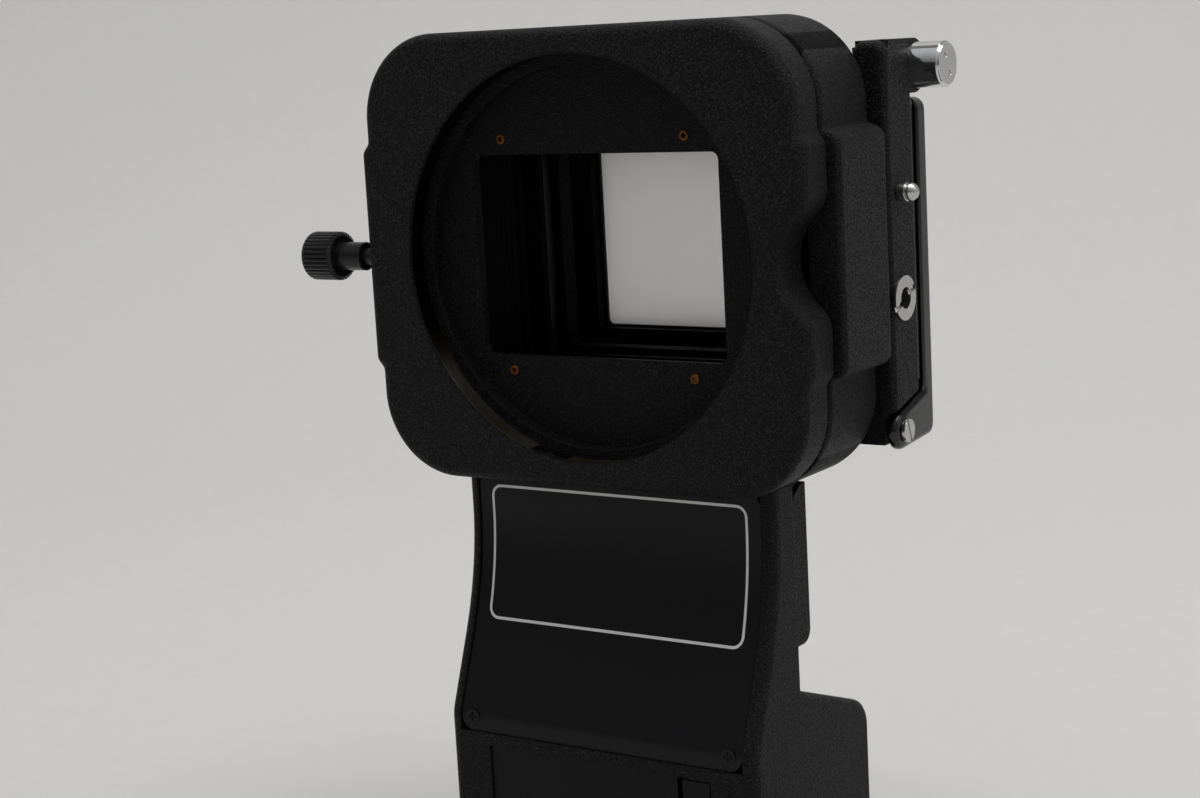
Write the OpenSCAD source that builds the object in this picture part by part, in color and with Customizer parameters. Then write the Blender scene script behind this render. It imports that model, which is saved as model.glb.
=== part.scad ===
// Slide duplicator: a copying head with a collapsible bellows on a curved column.
// Millimetres. X is the width, Y runs from the lens side to the lamp side, Z is up.
// The origin is on the optical axis, at the front face of the lens opening.

/* [Lens opening] */
// Diameter of the opening that takes the lens barrel
lens_opening_d = 65; // [60:0.5:67]
// Depth of the opening behind the front face
lens_opening_depth = 4.4; // [4:0.1:5]
// Diameter of the light step behind the lens opening
light_step_d = 62; // [56:0.5:63]
// Width of the split band that grips the barrel
band_w = 1.8; // [1.2:0.1:2.2]
// Thickness of the split band
band_t = 0.7; // [0.5:0.1:0.9]
// Open angle of the split in the band
band_split = 8; // [4:1:20]

/* [Head] */
// Width of the front frame and the housing
head_w = 81.2; // [78:0.2:90]
// Height of the front frame and the housing
head_h = 73.4; // [71:0.2:80]
// Corner radius of the front frame and the housing
head_corner_r = 14; // [8:0.5:18]
// Depth of the front frame
front_depth = 8; // [8:0.1:10]
// Depth of the rear housing
housing_depth = 16.9; // [16:0.1:22]
// Wall of the rear housing
housing_wall = 3; // [2:0.1:4]
// Height of the side pads on the frame and the housing
pad_h = 37.8; // [30:0.2:44]
// How far each side pad of the front frame stands out
front_pad_out = 1.3; // [0.6:0.1:2]
// How far each side pad of the housing stands out
rear_pad_out = 2.9; // [1.5:0.1:4]
// Radius of the thumb scoop in the right side pad
scoop_r = 9.3; // [7:0.1:11]
// How deep the thumb scoop cuts in from the pad
scoop_depth = 4.9; // [2:0.1:5.2]

/* [Mask and bellows] */
// Width of the opening in the mask plate
mask_open_w = 46.6; // [40:0.2:48]
// Height of the opening in the mask plate
mask_open_h = 33; // [28:0.2:36]
// Thickness of the mask plate
mask_t = 1.1; // [0.8:0.1:1.4]
// Spacing of the mask rivets across
rivet_dx = 35; // [30:0.2:38]
// Spacing of the mask rivets in height
rivet_dz = 38.2; // [37:0.2:40]
// Radius of a rivet head
rivet_head_r = 0.85; // [0.6:0.05:1.2]
// Number of folds in the bellows
fold_count = 8; // [4:1:10]
// Inside width of the bellows
bellows_w = 50; // [48:0.5:54]
// Inside height of the bellows
bellows_h = 42; // [40:0.5:46]
// Depth of one fold
fold_depth = 7; // [4:0.2:8]

/* [Film stage] */
// How far the cheeks stay inside the side pads of the housing
cheek_inset = 0.5; // [0:0.1:2]
// Height of the film stage cheeks
cheek_h = 63.8; // [60:0.2:68]
// Width of one cheek
cheek_w = 6; // [5:0.1:8]
// Depth of the film stage
stage_depth = 8.8; // [8:0.1:12]
// Thickness of the stage's front plate
stage_front_t = 3.4; // [2.4:0.1:3.6]
// Width of the slot for a mounted slide
slide_slot_w = 50.8; // [50.4:0.1:52]
// Width of the light opening in the stage
stage_open_w = 38.4; // [36:0.2:40]
// Height of the light opening in the stage
stage_open_h = 35.6; // [30:0.2:37]
// Thickness of the film gate plate
gate_t = 1.7; // [1:0.1:2]
// Gap for the film behind the gate plate
film_gap = 0.4; // [0.3:0.1:1]
// Width of the film gate
gate_open_w = 37; // [36:0.2:40]
// Height of the film gate
gate_open_h = 32; // [25:0.2:34]

/* [Diffuser] */
// Thickness of the diffuser frame
opal_frame_t = 2.2; // [1.8:0.1:3]
// Height of the diffuser frame's top edge over the optical axis
opal_top_z = 22.6; // [20:0.1:22.8]
// Width of the diffuser window
opal_open_w = 36; // [34:0.2:38]
// Height of the diffuser window
opal_open_h = 31.2; // [26:0.2:34]
// Thickness of the opal plate
opal_t = 1.6; // [1:0.1:2]
// Drop of the hinge screws under the optical axis
hinge_drop = 29.9; // [29:0.1:30.5]
// Diameter of the release button
button_d = 7.3; // [5:0.1:7.4]
// Length of the release button outside the cheek
button_out = 5.6; // [3:0.1:8]

/* [Shift] */
// Travel of the film stage to each side
shift_x = 4.5; // [2:0.1:5]
// Travel of the film stage up and down
shift_z = 3; // [1:0.1:3.5]

/* [Column] */
// Width of the column and the foot
column_w = 59.8; // [56:0.2:62]
// Depth from the optical axis to the base
base_drop = 112; // [106:0.5:120]
// Depth of the column's back behind the front face
column_back_y = 15; // [14:0.1:17]
// Front of the column under the head
column_top_y = 8.4; // [8.4:0.1:10]
// Front of the column at its foot
column_foot_y = -1.3; // [-4:0.1:1]
// Rear end of the foot
foot_back_y = 38.6; // [34:0.2:46]
// Drop of the foot's top edge at the column
heel_top_drop = 70.9; // [68:0.1:76]
// Thickness of the nameplate
nameplate_t = 0.8; // [0.5:0.1:1.2]
// Width of the nameplate
nameplate_w = 55; // [50:0.2:56]
// Drop of the nameplate's lower edge
nameplate_drop = 80.2; // [78:0.1:81]

/* [Rail clamp] */
// Width of the clamp pocket in the foot
pocket_w = 43.2; // [40:0.2:48]
// Depth of the clamp pocket behind the foot's front
pocket_depth = 13; // [10:0.2:14]
// Width of the dovetail rail that the clamp takes
rail_w = 28; // [24:0.5:29]
// Height of the dovetail rail
rail_h = 7.6; // [6:0.1:9]
// Travel of the clamp jaw
jaw_travel = 0.5; // [0.3:0.1:0.8]

/* [Knobs] */
// Diameter of the lens clamp knob
lens_knob_d = 8.4; // [6:0.1:10]
// Length of the lens clamp knob's grip
lens_knob_l = 6.5; // [5:0.1:12]
// Diameter of the rail clamp knob
rail_knob_d = 15; // [12:0.5:16]
// Length of the rail clamp knob's grip
rail_knob_l = 9; // [6:0.5:12]

/* [Hidden] */
$fn = 48;

e = 0.01;                 // overshoot of a cut past a face
slip = 0.06;              // radial clearance of a turning or sliding fit
seat = 0.05;              // clearance round a fixed piece in its recess
seam = 0.3;               // gap between the front frame and the housing
run = 0.1;                // clearance of the sliding shift guides
corner_n = 8;             // steps in a quarter-round corner
edge_n = 4;               // steps in a rounded edge

// planes along the optical axis
mask_y = front_depth - mask_t;
housing_y = front_depth + seam;
housing_back_y = housing_y + housing_depth;
carrier_t = 2.1;
pocket_y = housing_back_y - carrier_t - 0.7;
wall_y = pocket_y - 1.2;
stage_y = housing_back_y + seam;
stage_back_y = stage_y + stage_depth;
gate_back_y = stage_back_y + gate_t;
pressure_y = gate_back_y + film_gap;
pressure_t = 0.8;
pressure_travel = 0.3;
opal_y = pressure_y + pressure_t + pressure_travel + seam;
opal_back_y = opal_y + opal_frame_t;
opal_box_y = opal_back_y + 2.4;
opal_seat_y = opal_y + 1.2;

lens_r = lens_opening_d / 2;
groove_y = 2.1;
lens_screw_y = groove_y + 0.1 + band_w / 2;
groove_r = lens_r + band_t + 0.3;
screw_r = 1.45;
front_pad_x = head_w / 2 + front_pad_out;
rear_pad_x = head_w / 2 + rear_pad_out;

// ---------------------------------------------------------------- shared shapes

// Corner points of a rounded rectangle, counter-clockwise
function rounded(hw, hh, r) = [for (k = [0:3]) for (s = [0:corner_n])
    let (a = 90 * k + 90 * s / corner_n, sx = (k == 0 || k == 3) ? 1 : -1, sy = k < 2 ? 1 : -1)
    [sx * (hw - r) + r * cos(a), sy * (hh - r) + r * sin(a)]];

function at_height(ring, z) = [for (p = ring) [p[0], p[1], z]];

function join_rings(rings) = [for (ring = rings) for (p = ring) p];

// Solid skin through a stack of rings with the same number of points
module loft(rings) {
    n = len(rings[0]);
    last = len(rings) - 1;
    sides = [for (i = [0:last - 1]) for (j = [0:n - 1]) for (half = [0, 1])
        let (k = (j + 1) % n)
        half == 0 ? [i * n + j, (i + 1) * n + j, (i + 1) * n + k]
                  : [i * n + j, (i + 1) * n + k, i * n + k]];
    bottom = [for (j = [1:n - 2]) [0, j, j + 1]];
    top = [for (j = [1:n - 2]) [last * n, last * n + j + 1, last * n + j]];
    polyhedron(join_rings(rings), concat(sides, bottom, top));
}

// Rings of a rounded block with rounded front and back edges, stacked along Z
function soft_rings(hw, hh, r, z0, z1, front_e, back_e) = concat(
    [for (s = [0:edge_n]) let (a = 90 * s / edge_n, d = front_e * (1 - sin(a)))
        at_height(rounded(hw - d, hh - d, max(r - d, 0.2)), z0 + front_e * (1 - cos(a)))],
    [for (s = [0:edge_n]) let (a = 90 - 90 * s / edge_n, d = back_e * (1 - sin(a)))
        at_height(rounded(hw - d, hh - d, max(r - d, 0.2)), z1 - back_e * (1 - cos(a)))]);

// Rounded block across the optical axis, from y0 to y1
module soft_block(hw, hh, r, y0, y1, front_e, back_e) {
    rotate([-90, 0, 0])
        loft(soft_rings(hw, hh, r, y0, y1, front_e, back_e));
}

// Flat plate across the optical axis with true round corners
module plate(hw, hh, r, y, t) {
    translate([0, y + t, 0])
        rotate([90, 0, 0])
            linear_extrude(t) {
                square([2 * hw, 2 * (hh - r)], center = true);
                square([2 * (hw - r), 2 * hh], center = true);
                for (sx = [-1, 1], sz = [-1, 1])
                    translate([sx * (hw - r), sz * (hh - r)])
                        circle(r);
            }
}

// Cylinder along Y from y0 to y1
module y_rod(r, y0, y1) {
    translate([0, y0, 0])
        rotate([-90, 0, 0])
            cylinder(h = y1 - y0, r = r);
}

// Cylinder along X from x0 to x1
module x_rod(r, x0, x1) {
    translate([x0, 0, 0])
        rotate([0, 90, 0])
            cylinder(h = x1 - x0, r = r);
}

// Profile in the Y-Z plane, drawn out along X from x0 to x1
module side_profile(points, x0, x1) {
    translate([x0, 0, 0])
        rotate([90, 0, 90])
            linear_extrude(x1 - x0)
                polygon(points);
}

// Copies on both sides of the middle plane
module both_sides() {
    children();
    mirror([1, 0, 0])
        children();
}

// Copies at the four corners of a rectangle across the optical axis
module four_corners(dx, dz) {
    for (sx = [-1, 1], sz = [-1, 1])
        translate([sx * dx / 2, 0, sz * dz / 2])
            children();
}

// ---------------------------------------------------------------- column and foot

column_hw = column_w / 2;
column_top_z = -head_h / 2;
bend_top_z = -43;
bend_foot_z = -81;
base_z = -base_drop;
column_edge_r = 3;
neck_r = 5.5;

function smooth(t) = t <= 0 ? 0 : t >= 1 ? 1 : t * t * (3 - 2 * t);

// Front of the column at a height: an S between the neck and the foot
function column_front(z) = column_top_y
    + (column_foot_y - column_top_y) * smooth((bend_top_z - z) / (bend_top_z - bend_foot_z));

bend_steps = 18;
column_levels = concat([base_z, base_z + 14],
    [for (i = [0:bend_steps]) bend_foot_z + (bend_top_z - bend_foot_z) * i / bend_steps],
    [column_top_z]);

function column_ring(z) = let (y0 = column_front(z), y1 = column_back_y, r = column_edge_r)
    [for (p = rounded(column_hw, (y1 - y0) / 2, min(r, (y1 - y0) / 2 - 0.2)))
        [p[0], p[1] + (y0 + y1) / 2, z]];

heel_slope = 7.6 / 20.5;
heel_corner_r = 3.2;
heel_edge_r = 1.2;
heel_y0 = column_back_y - 4;
heel_end_drop = heel_top_drop + heel_slope * (foot_back_y - column_back_y);

// Side outline of the foot behind the column, as corner points and one rounded corner
function heel_outline(d) = concat(
    [[heel_y0, base_z + d], [foot_back_y - d, base_z + d]],
    [for (s = [0:6]) let (a = 90 * s / 6 * 0.78, c = [foot_back_y - heel_corner_r,
        -heel_end_drop - heel_corner_r * 1.1])
        [c[0] + (heel_corner_r - d) * cos(a), c[1] + (heel_corner_r - d) * sin(a)]],
    [[heel_y0, -heel_top_drop - d + heel_slope * 4]]);

module heel() {
    rings = [for (k = [[-1, 1], [-1, 0.7], [-1, 0.35], [-1, 0], [1, 0], [1, 0.35], [1, 0.7], [1, 1]])
        let (d = heel_edge_r * k[1],
            x = k[0] * (column_hw - heel_edge_r * (1 - sqrt(1 - k[1] * k[1]))))
        [for (p = heel_outline(d)) [p[0], p[1], x]]];
    rotate([90, 0, 90])
        loft(rings);
}

pocket_hw = pocket_w / 2;
pocket_top_z = -82.3;
pocket_back_y = column_foot_y + pocket_depth;
nameplate_top_z = column_top_z - 0.4;

// Recess for the nameplate: it follows the S of the front
module nameplate_blank(hw, out, depth) {
    z0 = -nameplate_drop - seat;
    z1 = column_top_z + e;
    levels = [for (i = [0:plate_steps]) z0 + (z1 - z0) * i / plate_steps];
    front = [for (z = levels) [column_front(z) - out, z]];
    back = [for (i = [plate_steps:-1:0]) [column_front(levels[i]) + depth, levels[i]]];
    side_profile(concat(front, back), -hw, hw);
}

nameplate_sink = 0.45;
plate_steps = 24;
glue = 0.03;
plate_head_r = 1.3;
plate_head_sink = 0.15;
nameplate_hw = nameplate_w / 2;
nameplate_corner_r = 2.5;
plate_screw_dx = 50;
plate_screw_z = -77.7;
rail_screw_y = 6;
rail_screw_z = base_z + 13;
neck_screw_dx = 36;
neck_screw_z = -56;
neck_screw_r = 1.25;
neck_screw_grip = 3.5;
neck_head_r = 2.4;
neck_head_t = 1.5;
neck_slot = 0.6;
neck_z = column_top_z - neck_r - 0.5;
neck_cover_t = 5.2;
neck_cover_y = column_back_y + seam;
neck_cover_z = -64;
neck_cover_foot_r = 2.2;

module column() {
    color("#222324")
        difference() {
            union() {
                loft([for (z = column_levels) column_ring(z)]);
                heel();
                neck_flare();
            }
            // nameplate recess
            nameplate_blank(nameplate_hw + seat, 3, nameplate_sink + nameplate_t + glue);
            for (sx = [-1, 1])
                translate([sx * plate_screw_dx / 2, 0, plate_screw_z])
                    y_rod(0.75, -4, 6);
            // clamp pocket, open to the front and to the base
            translate([-pocket_hw, column_foot_y - 6, base_z - e])
                cube([pocket_w, pocket_depth + 6, pocket_top_z - base_z + e]);
            // rail screw hole in the right wall
            translate([0, rail_screw_y, rail_screw_z])
                x_rod(2 + slip, pocket_hw - 1, column_hw + 1);
            for (sx = [-1, 1])
                translate([sx * neck_screw_dx / 2, 0, neck_screw_z])
                    y_rod(neck_screw_r, column_back_y - neck_screw_grip - 0.5, column_back_y + 1);
            for (x = block_screw_x)
                translate([x, 0, block_screw_z])
                    y_rod(1.5, pocket_back_y - 1, pocket_back_y + 7);
        }
}

// Neck that widens backwards to carry the housing
module neck_flare() {
    back = column_back_y + neck_r;
    side_profile(concat([[column_back_y - column_edge_r, neck_z]],
        [for (s = [0:6]) let (a = 180 - 15 * s)
            [back + neck_r * cos(a), neck_z + neck_r * sin(a)]],
        [[back, column_top_z], [column_back_y - column_edge_r, column_top_z]]),
        -column_hw + 1.5, column_hw - 1.5);
}

// Cover behind the neck: its top follows the flare, its lower rear edge is round
module neck_cover() {
    r = neck_cover_t;
    c = neck_cover_y + r;
    foot_r = neck_cover_foot_r;
    color("#252627")
        difference() {
            side_profile(concat(
                [for (s = [0:6]) let (a = 90 + 15 * s) [c + r * cos(a), neck_z + r * sin(a)]],
                [[neck_cover_y, neck_cover_z]],
                [for (s = [0:4]) let (a = -90 + 22.5 * s)
                    [c - foot_r + foot_r * cos(a), neck_cover_z + foot_r + foot_r * sin(a)]]),
                -column_hw + 1, column_hw - 1);
            for (sx = [-1, 1])
                translate([sx * neck_screw_dx / 2, 0, neck_screw_z]) {
                    y_rod(neck_screw_r + seat, neck_cover_y - 1, c + 1);
                    y_rod(neck_head_r + seat, c - neck_head_t, c + 1);
                }
        }
}

module neck_screws() {
    c = neck_cover_y + neck_cover_t;
    color("#2b2b2b")
        for (sx = [-1, 1])
            translate([sx * neck_screw_dx / 2, 0, neck_screw_z])
                difference() {
                    union() {
                        y_rod(neck_screw_r - seat, column_back_y - neck_screw_grip, c - 1);
                        y_rod(neck_head_r, c - neck_head_t, c - 0.2);
                    }
                    translate([-neck_slot / 2, c - 0.9, -neck_head_r - 1])
                        cube([neck_slot, 2, 2 * neck_head_r + 2]);
                }
}

module nameplate() {
    color("#191a1b")
        difference() {
            intersection() {
                nameplate_blank(nameplate_hw, -nameplate_sink, nameplate_sink + nameplate_t);
                translate([0, 0, (nameplate_top_z - nameplate_drop) / 2])
                    plate(nameplate_hw, (nameplate_top_z + nameplate_drop) / 2,
                        nameplate_corner_r, -10, 30);
            }
            for (sx = [-1, 1])
                translate([sx * plate_screw_dx / 2, 0, plate_screw_z]) {
                    y_rod(0.85, -4, 6);
                    y_rod(plate_head_r + seat, -4, plate_head_y + plate_head_sink);
                }
        }
}

plate_head_y = column_front(plate_screw_z) + nameplate_sink;

module nameplate_screws() {
    y0 = plate_head_y + plate_head_sink;
    color("#1b1b1c")
        for (sx = [-1, 1])
            translate([sx * plate_screw_dx / 2, 0, plate_screw_z])
                difference() {
                    union() {
                        y_rod(plate_head_r, y0 - 0.45, y0);
                        y_rod(0.7, y0 - e, y0 + 4);
                    }
                    for (a = [0, 90])
                        rotate([0, a, 0])
                            translate([-0.2, y0 - 1, -0.8])
                                cube([0.4, 0.8, 1.6]);
                }
}

// ---------------------------------------------------------------- rail clamp

block_face_y = column_foot_y + 0.5;
jaw_w = 5.2;
jaw_x = pocket_hw - seam - jaw_w;
block_x1 = jaw_x - jaw_travel - seam;
rail_top_z = base_z + rail_h;
flank = 2;
block_screw_x = [-13, 3];
block_screw_z = -93;

module rail_block() {
    color("#1d1e1f")
        difference() {
            translate([-pocket_hw + seat, block_face_y, base_z])
                cube([block_x1 + pocket_hw - seat, pocket_back_y - block_face_y,
                    pocket_top_z - seat - base_z]);
            // dovetail groove for the rail, its right flank is on the jaw
            translate([0, block_face_y - 1, 0])
                rotate([-90, 0, 0])
                    linear_extrude(pocket_depth + 2)
                        polygon([[-rail_w / 2, -rail_top_z], [-rail_w / 2 + flank, -base_z + 1],
                            [30, -base_z + 1], [30, -rail_top_z]]);
            for (x = block_screw_x)
                translate([x, 0, block_screw_z]) {
                    y_rod(1.5, block_face_y - 1, pocket_back_y + 1);
                    y_rod(2.8 + seat, block_face_y - 1, block_face_y + 2);
                }
        }
}

module rail_block_screws() {
    color("#3a3b3c")
        for (x = block_screw_x)
            translate([x, 0, block_screw_z])
                difference() {
                    union() {
                        y_rod(2.8, block_face_y + 0.3, block_face_y + 2);
                        y_rod(1.45, block_face_y + 1.9, pocket_back_y + 6);
                    }
                    translate([-0.35, block_face_y - 1, -2.2])
                        cube([0.7, 2, 4.4]);
                    translate([-2.2, block_face_y - 1, -0.35])
                        cube([4.4, 2, 0.7]);
                }
}

module clamp_jaw() {
    color("#1d1e1f")
        difference() {
            union() {
                translate([jaw_x, block_face_y, base_z + seam])
                    cube([jaw_w, pocket_back_y - block_face_y - seam,
                        pocket_top_z - base_z - 2 * seam]);
                // tooth under the rail's right flank
                translate([0, block_face_y, 0])
                    rotate([-90, 0, 0])
                        linear_extrude(pocket_back_y - block_face_y - seam)
                            polygon([[jaw_x + 1, -rail_top_z + seam],
                                [rail_w / 2 + jaw_travel, -rail_top_z + seam],
                                [rail_w / 2 + jaw_travel - flank, -base_z - seam],
                                [jaw_x + 1, -base_z - seam]]);
            }
            translate([0, rail_screw_y, rail_screw_z])
                x_rod(2 + slip, jaw_x + 2, pocket_hw + 1);
        }
}

// Knurled cylinder along X
module knurled(r, x0, x1, flutes) {
    difference() {
        x_rod(r, x0, x1);
        for (i = [0:flutes - 1])
            rotate([360 / flutes * i, 0, 0])
                translate([0, 0, r + 0.2])
                    x_rod(0.45, x0 - 1, x1 + 1);
    }
}

rail_hub_x = column_hw + seam + jaw_travel;
rail_knob_x = rail_hub_x + 2;

module rail_knob() {
    color("#1a1a1b")
        translate([0, rail_screw_y, rail_screw_z]) {
            knurled(rail_knob_d / 2, rail_knob_x, rail_knob_x + rail_knob_l, 28);
            x_rod(rail_knob_d / 2 - 2.4, rail_hub_x, rail_knob_x + e);
            x_rod(2, jaw_x + 2.1, rail_knob_x);
        }
}

// ---------------------------------------------------------------- rear housing

cavity_hw = head_w / 2 - housing_wall;
cavity_hh = head_h / 2 - housing_wall;
wall_open_w = 41;
wall_open_h = 37;
carrier_hw = 28.9;
carrier_hh = 25;
carrier_bevel = 1;
carrier_y = pocket_y + run;

// Dovetail section in the X-Y plane, drawn out along Z
module dovetail_z(hw, y0, y1, bevel, hh) {
    translate([0, 0, -hh])
        linear_extrude(2 * hh)
            polygon([[-hw, y0], [hw, y0], [hw - bevel, y1], [-hw + bevel, y1]]);
}

module rear_housing() {
    color("#232425")
        difference() {
            union() {
                soft_block(head_w / 2, head_h / 2, head_corner_r, housing_y, housing_back_y, 1, 2);
                translate([0, 0, 0.4])
                    soft_block(rear_pad_x, pad_h / 2, 2, housing_y + 0.2, housing_back_y, 1.4, 2.4);
            }
            // room for the folded bellows, open to the front
            soft_block(cavity_hw, cavity_hh, head_corner_r - housing_wall, housing_y - 1,
                wall_y, 0.01, 0.01);
            // light opening in the rear wall
            plate(wall_open_w / 2, wall_open_h / 2, 1.5, wall_y - 1, 3);
            // undercut pocket of the vertical shift
            dovetail_z(carrier_hw + run, pocket_y, housing_back_y + e,
                carrier_bevel, carrier_hh + shift_z + run);
        }
}

module bellows_rear_frame() {
    color("#18191a")
        difference() {
            plate(bellows_w / 2 + fold_depth + 1, bellows_h / 2 + fold_depth + 1, 4,
                wall_y - 0.8, 0.8);
            plate(bellows_w / 2 - 1.5, bellows_h / 2 - 1.5, 2, wall_y - 2, 3);
        }
}

// ---------------------------------------------------------------- bellows

bellows_y0 = front_depth + 0.8;
bellows_y1 = wall_y - 0.8;
fold_pitch = (bellows_y1 - bellows_y0) / fold_count;
cloth = 3.2;

function fold_ring(d, z) = at_height(rounded(bellows_w / 2 + d, bellows_h / 2 + d, 3 + d * 0.5), z);

module bellows() {
    outer = [for (i = [0:2 * fold_count])
        fold_ring(i % 2 == 0 ? cloth : fold_depth, bellows_y0 + fold_pitch * i / 2)];
    inner = [for (i = [0:2 * fold_count])
        fold_ring(i % 2 == 0 ? 0 : fold_depth - cloth, bellows_y0 + fold_pitch * i / 2)];
    n = len(outer[0]);
    m = n * len(outer);
    last = len(outer) - 1;
    skin = [for (i = [0:last - 1]) for (j = [0:n - 1]) let (k = (j + 1) % n) each [
        [i * n + j, (i + 1) * n + j, (i + 1) * n + k], [i * n + j, (i + 1) * n + k, i * n + k],
        [m + i * n + j, m + (i + 1) * n + k, m + (i + 1) * n + j],
        [m + i * n + j, m + i * n + k, m + (i + 1) * n + k]]];
    rims = [for (j = [0:n - 1]) let (k = (j + 1) % n, t = last * n) each [
        [j, k, m + k], [j, m + k, m + j],
        [t + j, m + t + k, t + k], [t + j, m + t + j, m + t + k]]];
    color("#151617")
        rotate([-90, 0, 0])
            polyhedron(join_rings(concat(outer, inner)), concat(skin, rims));
}

module bellows_front_frame() {
    color("#18191a")
        difference() {
            plate(bellows_w / 2 + fold_depth + 1, bellows_h / 2 + fold_depth + 1, 4,
                front_depth, 0.8);
            plate(bellows_w / 2 - 1.5, bellows_h / 2 - 4, 2, front_depth - 1, 3);
            four_corners(rivet_dx, rivet_dz)
                y_rod(0.6 + seat, front_depth - 1, front_depth + 2);
        }
}

// ---------------------------------------------------------------- front frame

rebate_hw = lens_r + 1.5;
rebate_hh = lens_r - 0.7;

module mask_plate() {
    color("#202122")
        difference() {
            plate(rebate_hw - seat, rebate_hh - seat, 3, mask_y, mask_t);
            plate(mask_open_w / 2, mask_open_h / 2, 1.2, mask_y - 1, mask_t + 2);
            four_corners(rivet_dx, rivet_dz)
                y_rod(0.6 + seat, mask_y - 1, mask_y + 2);
        }
}

module mask_rivets() {
    color("#7a5a3a")
        four_corners(rivet_dx, rivet_dz) {
            y_rod(rivet_head_r, mask_y - 0.25, mask_y);
            y_rod(0.6, mask_y - e, front_depth + 0.8 + e);
            y_rod(rivet_head_r, front_depth + 0.8, front_depth + 1.1);
        }
}

module front_frame() {
    color("#212223")
        difference() {
            union() {
                soft_block(head_w / 2, head_h / 2, head_corner_r, 0, front_depth, 1.8, 1);
                soft_block(front_pad_x, pad_h / 2 - 0.1, 2, 0.4, front_depth, 1.3, 1.3);
            }
            y_rod(lens_r, -1, lens_opening_depth);
            y_rod(light_step_d / 2, lens_opening_depth - 1, front_depth + 1);
            y_rod(groove_r, groove_y, groove_y + band_w + 0.2);
            plate(rebate_hw, rebate_hh, 3, mask_y, mask_t + 1);
            // thumb scoop in the right pad
            translate([front_pad_x - scoop_depth + scoop_r, 0, 0])
                y_rod(scoop_r, -1, front_depth + 1);
            // clamp screw hole in the left pad
            translate([0, lens_screw_y, 0])
                x_rod(screw_r + slip, -front_pad_x - 1, -lens_r);
        }
}

module clamp_band() {
    color("#6b6259")
        translate([0, groove_y + 0.1, 0])
            rotate([-90, 105, 0])
                rotate([0, 0, band_split / 2])
                    rotate_extrude(angle = 360 - band_split, $fn = 96)
                        translate([lens_r + 0.12, 0])
                            square([band_t, band_w]);
}

lens_shank_x = front_pad_x + 2.3;
lens_grip_x = lens_shank_x + 5.2;

module lens_clamp_knob() {
    color("#1b1b1c")
        mirror([1, 0, 0])
            translate([0, lens_screw_y, 0]) {
                x_rod(screw_r, groove_r + 0.15, lens_shank_x + 1);
                x_rod(2.45, lens_shank_x, lens_grip_x + 1);
                knurled(lens_knob_d / 2, lens_grip_x, lens_grip_x + lens_knob_l, 24);
            }
}

// ---------------------------------------------------------------- film stage

stage_hw = rear_pad_x - cheek_inset;
stage_w = 2 * stage_hw;
cheek_hh = cheek_h / 2;
stage_top_z = 21.5;
tongue_z = 23.3;
tongue_h = 2.4;
tongue_x = 24;
ear_t = 1.8;
ear_gap = 0.3;
ear_r = 3.1;
hinge_y = stage_y + ear_r + 0.2;
boss_y = stage_back_y + 2.2;
boss_r = 4.3;
boss_z = cheek_hh - boss_r;
button_travel = 2;
bush_r = 3.6;
tray_y = stage_y + bush_r + 0.15;
bush_hole_r = 1.75;
bush_z = -8.6;
pin_z = 8.2;
pin_r = 1.5;
cut_slope = 0.2736;
cut_z = -24.1;

// Horizontal tongues on the carrier, wider at their tips so that they hold the stage
module tongues(grow, length) {
    for (sz = [-1, 1])
        side_profile([[carrier_y + carrier_t - 0.5, sz * tongue_z - tongue_h / 2 - grow],
            [stage_y - 0.1 + grow, sz * tongue_z - tongue_h / 2 - grow],
            [stage_y + 1.6 + grow, sz * tongue_z - tongue_h / 2 - 0.4 - grow],
            [stage_y + 1.6 + grow, sz * tongue_z + tongue_h / 2 + 0.4 + grow],
            [stage_y - 0.1 + grow, sz * tongue_z + tongue_h / 2 + grow],
            [carrier_y + carrier_t - 0.5, sz * tongue_z + tongue_h / 2 + grow]],
            -length, length);
}

module shift_carrier() {
    color("#2a2b2c")
        difference() {
            union() {
                dovetail_z(carrier_hw, carrier_y, carrier_y + carrier_t, carrier_bevel, carrier_hh);
                tongues(0, tongue_x);
            }
            plate(wall_open_w / 2, wall_open_h / 2 + shift_z, 1.5, carrier_y - 1, carrier_t + 2);
        }
}

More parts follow.
